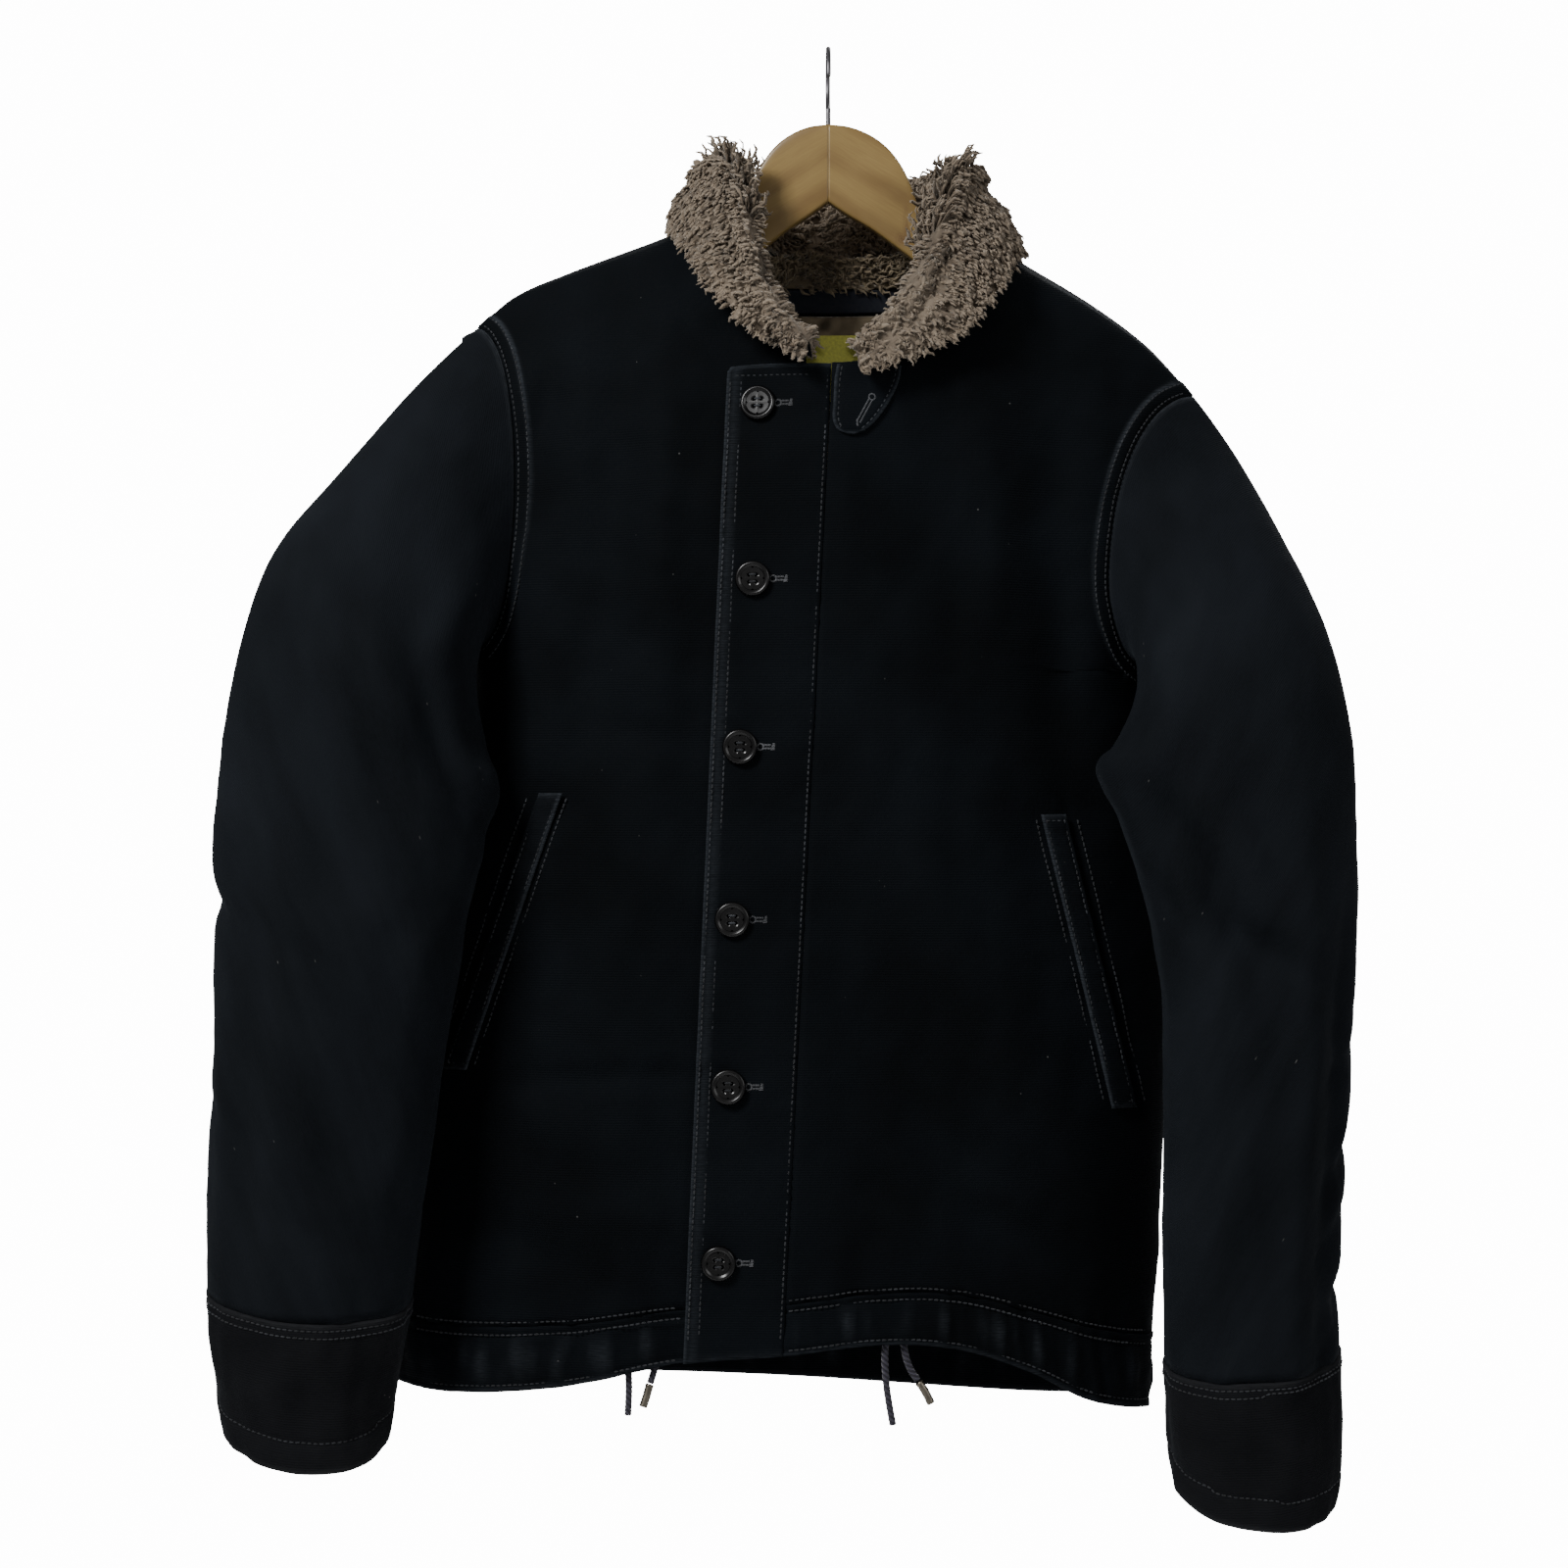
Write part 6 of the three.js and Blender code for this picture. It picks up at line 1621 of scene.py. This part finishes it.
def hanger_piece(name):
    side = ARMHOLE[name][0]
    end = ARM_END[name] * side
    crown_end = 66 * CROWN_WIDTH[name]
    tip = end - np.array([4.5, 3, 2, 1, 0.3, 0])
    x = np.concatenate([np.linspace(WOOD_JOINT, 60, 60), np.linspace(61, end - 6, 40), tip])
    crown = CROWN.read(np.minimum(x, crown_end) / CROWN_WIDTH[name])
    tail = CROWN.rows[-1]
    arm_top = shoulder_z(side * x) - ARM_BELOW
    arm_low = arm_top - mix(ARM_DEEP_AT_NECK, ARM_DEEP_AT_END, ease((x - crown_end) / (end - crown_end)))
    settle, drop = ease((x - crown_end) / 40), (x - crown_end) * 0.55
    top = np.where(x <= crown_end, crown["top"], np.minimum(mix(tail[1] - drop, arm_top, settle), arm_top))
    low = np.where(x <= crown_end, crown["low"], mix(tail[2] - drop, arm_low, settle))
    narrow = np.where(x > end - 8, mix(1, 0.55, np.clip((x - end + 8) / 8, 0, 1) ** 2), 1)
    sides = 32
    angle = np.radians(np.arange(sides) * 360 / sides + 5.6)

    def blunt(v):
        return np.sign(v) * np.abs(v) ** 0.24

    half = (top - low) / 2 * narrow
    points = np.stack([
        np.broadcast_to((side * x)[:, None], (len(x), sides)),
        (WOOD / 2 * narrow)[:, None] * blunt(np.cos(angle))[None] * 0.98,
        ((top + low) / 2)[:, None] + half[:, None] * blunt(np.sin(angle))[None],
    ], -1)
    i, j = np.meshgrid(np.arange(len(x) - 1), np.arange(sides), indexing="ij")
    nxt = (j + 1) % sides
    a, b = i * sides + j, i * sides + nxt
    quads = np.stack([a, b, b + sides, a + sides], -1).reshape(-1, 4)
    caps = [np.arange(sides)[None, ::-1], (len(x) - 1) * sides + np.arange(sides)[None]]
    flat = points.reshape(-1, 3)
    # the grain runs down each arm, away from the joint in the middle
    slope = math.radians(31)
    u = side * flat[:, 0] * math.cos(slope) - flat[:, 2] * math.sin(slope)
    v = side * flat[:, 0] * math.sin(slope) + flat[:, 2] * math.cos(slope)
    knot = np.zeros(len(flat))
    if name == "left":
        knot = np.exp(-(((flat[:, 0] - 44) / 4.5) ** 2) - ((flat[:, 2] + 110) / 3.2) ** 2)
    piece = new_piece(f"{name}_hanger_arm", flat, [quads, *caps], WOOD_MATERIAL,
                      uv=np.stack([u, v + 40 * (side > 0)], -1), values={"knot": knot}, flat_from=len(quads))
    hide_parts(f"hanger_{name}")


for hole_name in ARMHOLE:
    hanger_piece(hole_name)


def tube(name, path, radius, sides, material):
    """A round bar along a path, with uv along and round it."""
    path = np.asarray(path, float)
    radius = np.broadcast_to(radius, len(path))
    along = unit(np.gradient(path, axis=0))
    across = np.tile(np.array([0, 1.0, 0]), (len(path), 1))
    across = unit(across - along * np.einsum("ij,ij->i", across, along)[:, None])
    other = np.cross(along, across)
    angle = np.arange(sides) * 2 * math.pi / sides
    points = path[:, None] + radius[:, None, None] * (
        across[:, None] * np.cos(angle)[None, :, None] + other[:, None] * np.sin(angle)[None, :, None])
    i, j = np.meshgrid(np.arange(len(path) - 1), np.arange(sides), indexing="ij")
    nxt = (j + 1) % sides
    a, b = i * sides + j, i * sides + nxt
    quads = np.stack([a, b, b + sides, a + sides], -1).reshape(-1, 4)
    caps = [np.arange(sides)[None, ::-1], (len(path) - 1) * sides + np.arange(sides)[None]]
    travelled = np.concatenate([[0], np.cumsum(np.linalg.norm(np.diff(path, axis=0), axis=1))])
    shape = points.shape[:2]
    uv = np.stack([np.broadcast_to(angle * 2.0, shape), np.broadcast_to(travelled[:, None], shape)], -1)
    return new_piece(name, points.reshape(-1, 3), [quads, *caps], material, uv=uv.reshape(-1, 2))


hook_radius = HOOK_INSIDE + WIRE / 2
turns = np.radians(np.linspace(-90, 188, 90))
shank = np.stack([np.zeros(14), np.zeros(14), np.linspace(-70, -36, 14)], -1)
bend = np.stack([turns * 0, hook_radius * np.cos(turns), -HOOK_INSIDE + hook_radius * np.sin(turns)], -1)
hook_path = through(np.concatenate([shank, bend])[None], 160)[0]
hook_size = np.full(160, WIRE / 2)
hook_size[-3:] = WIRE / 2 * np.array([0.95, 0.8, 0.4])
hook = tube("wire_hook", hook_path, hook_size, 16, WIRE_MATERIAL)
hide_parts("hook")

# Drawcord


def cord_path(rows, count):
    rows = np.array(rows, float)
    y = body_y(rows[:, 0], np.maximum(rows[:, 2], -745), np.full(len(rows), -1)) + rows[:, 1]
    return through(np.stack([rows[:, 0], y, rows[:, 2]], -1)[None], count)[0]


tips, cords = {}, {}
for name, rows in CORDS.items():
    if name.endswith("tip"):
        path = cord_path(rows, 24)
        size = np.full(24, 2.3)
        size[[0, -1]] = 1.9
        size[1:3] = 2.45
        piece = tips[name] = tube(name + "_metal", path, size, 16, TIP_MATERIAL)
    else:
        path = cord_path(rows, 60)
        size = CORD / 2 + 0.12 * np.sin(np.arange(60) * 2.1)
        size[0] = size[-1] = 1.5
        piece = tube(name + "_braid", path, size, 14, BRAID_MATERIAL)
        cords[name] = piece, path
    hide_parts(name)

# The imported part of each cloth piece is hidden
for node, piece in pieces.items():
    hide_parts(node)

# Floor, backdrop and light


def stage_plane(name, corners, colour, glow=0.0):
    mesh = bpy.data.meshes.new(name)
    mesh.from_pydata(corners, [], [(0, 1, 2, 3)])
    n = Nodes(name + "_paint")
    n.set(Base_Color=colour, Roughness=0.9, Emission_Color=colour, Emission_Strength=glow)
    mesh.materials.append(n.material)
    plane = bpy.data.objects.new(name, mesh)
    bpy.context.scene.collection.objects.link(plane)
    return plane


stage_plane("floor", [(-6, -6, -2.2), (6, -6, -2.2), (6, 6, -2.2), (-6, 6, -2.2)], (0.9, 0.9, 0.9, 1))
backdrop = stage_plane("backdrop", [(-2.5, 4, -3), (2.5, 4, -3), (2.5, 4, 2), (-2.5, 4, 2)], (1, 1, 1, 1), 14)
for ray in ("diffuse", "glossy", "transmission", "shadow"):
    setattr(backdrop, "visible_" + ray, False)

world = bpy.data.worlds.new("studio")
bpy.context.scene.world = world
world.use_nodes = True
world.node_tree.nodes["Background"].inputs["Color"].default_value = (1, 1, 1, 1)
world.node_tree.nodes["Background"].inputs["Strength"].default_value = 0.22


def lamp(name, place, aim, size, power, cone=None):
    light = bpy.data.lights.new(name, "SPOT" if cone else "AREA")
    if cone:
        light.spot_size, light.spot_blend, light.shadow_soft_size = cone, 0.7, size
    else:
        light.size = size
    light.energy = power
    lamp_object = bpy.data.objects.new(name, light)
    bpy.context.scene.collection.objects.link(lamp_object)
    lamp_object.location = place
    direction = np.array(aim) - np.array(place)
    yaw = math.atan2(direction[0], direction[1])
    pitch = math.atan2(direction[2], math.hypot(direction[0], direction[1]))
    lamp_object.rotation_euler = (math.radians(90) + pitch, 0, -yaw)


lamp("key", (-1.3, -1.6, 1.0), (0, 0, -0.4), 0.7, 52)
lamp("fill", (1.8, -1.5, 0.4), (0, 0, -0.5), 1.2, 9)
lamp("back", (0.6, 2.0, 1.0), (0, 0, -0.3), 1.5, 20)
lamp("neck", (-0.03, -1.9, -0.36), (0.006, 0.05, -0.168), 0.03, 20, math.radians(2.7))
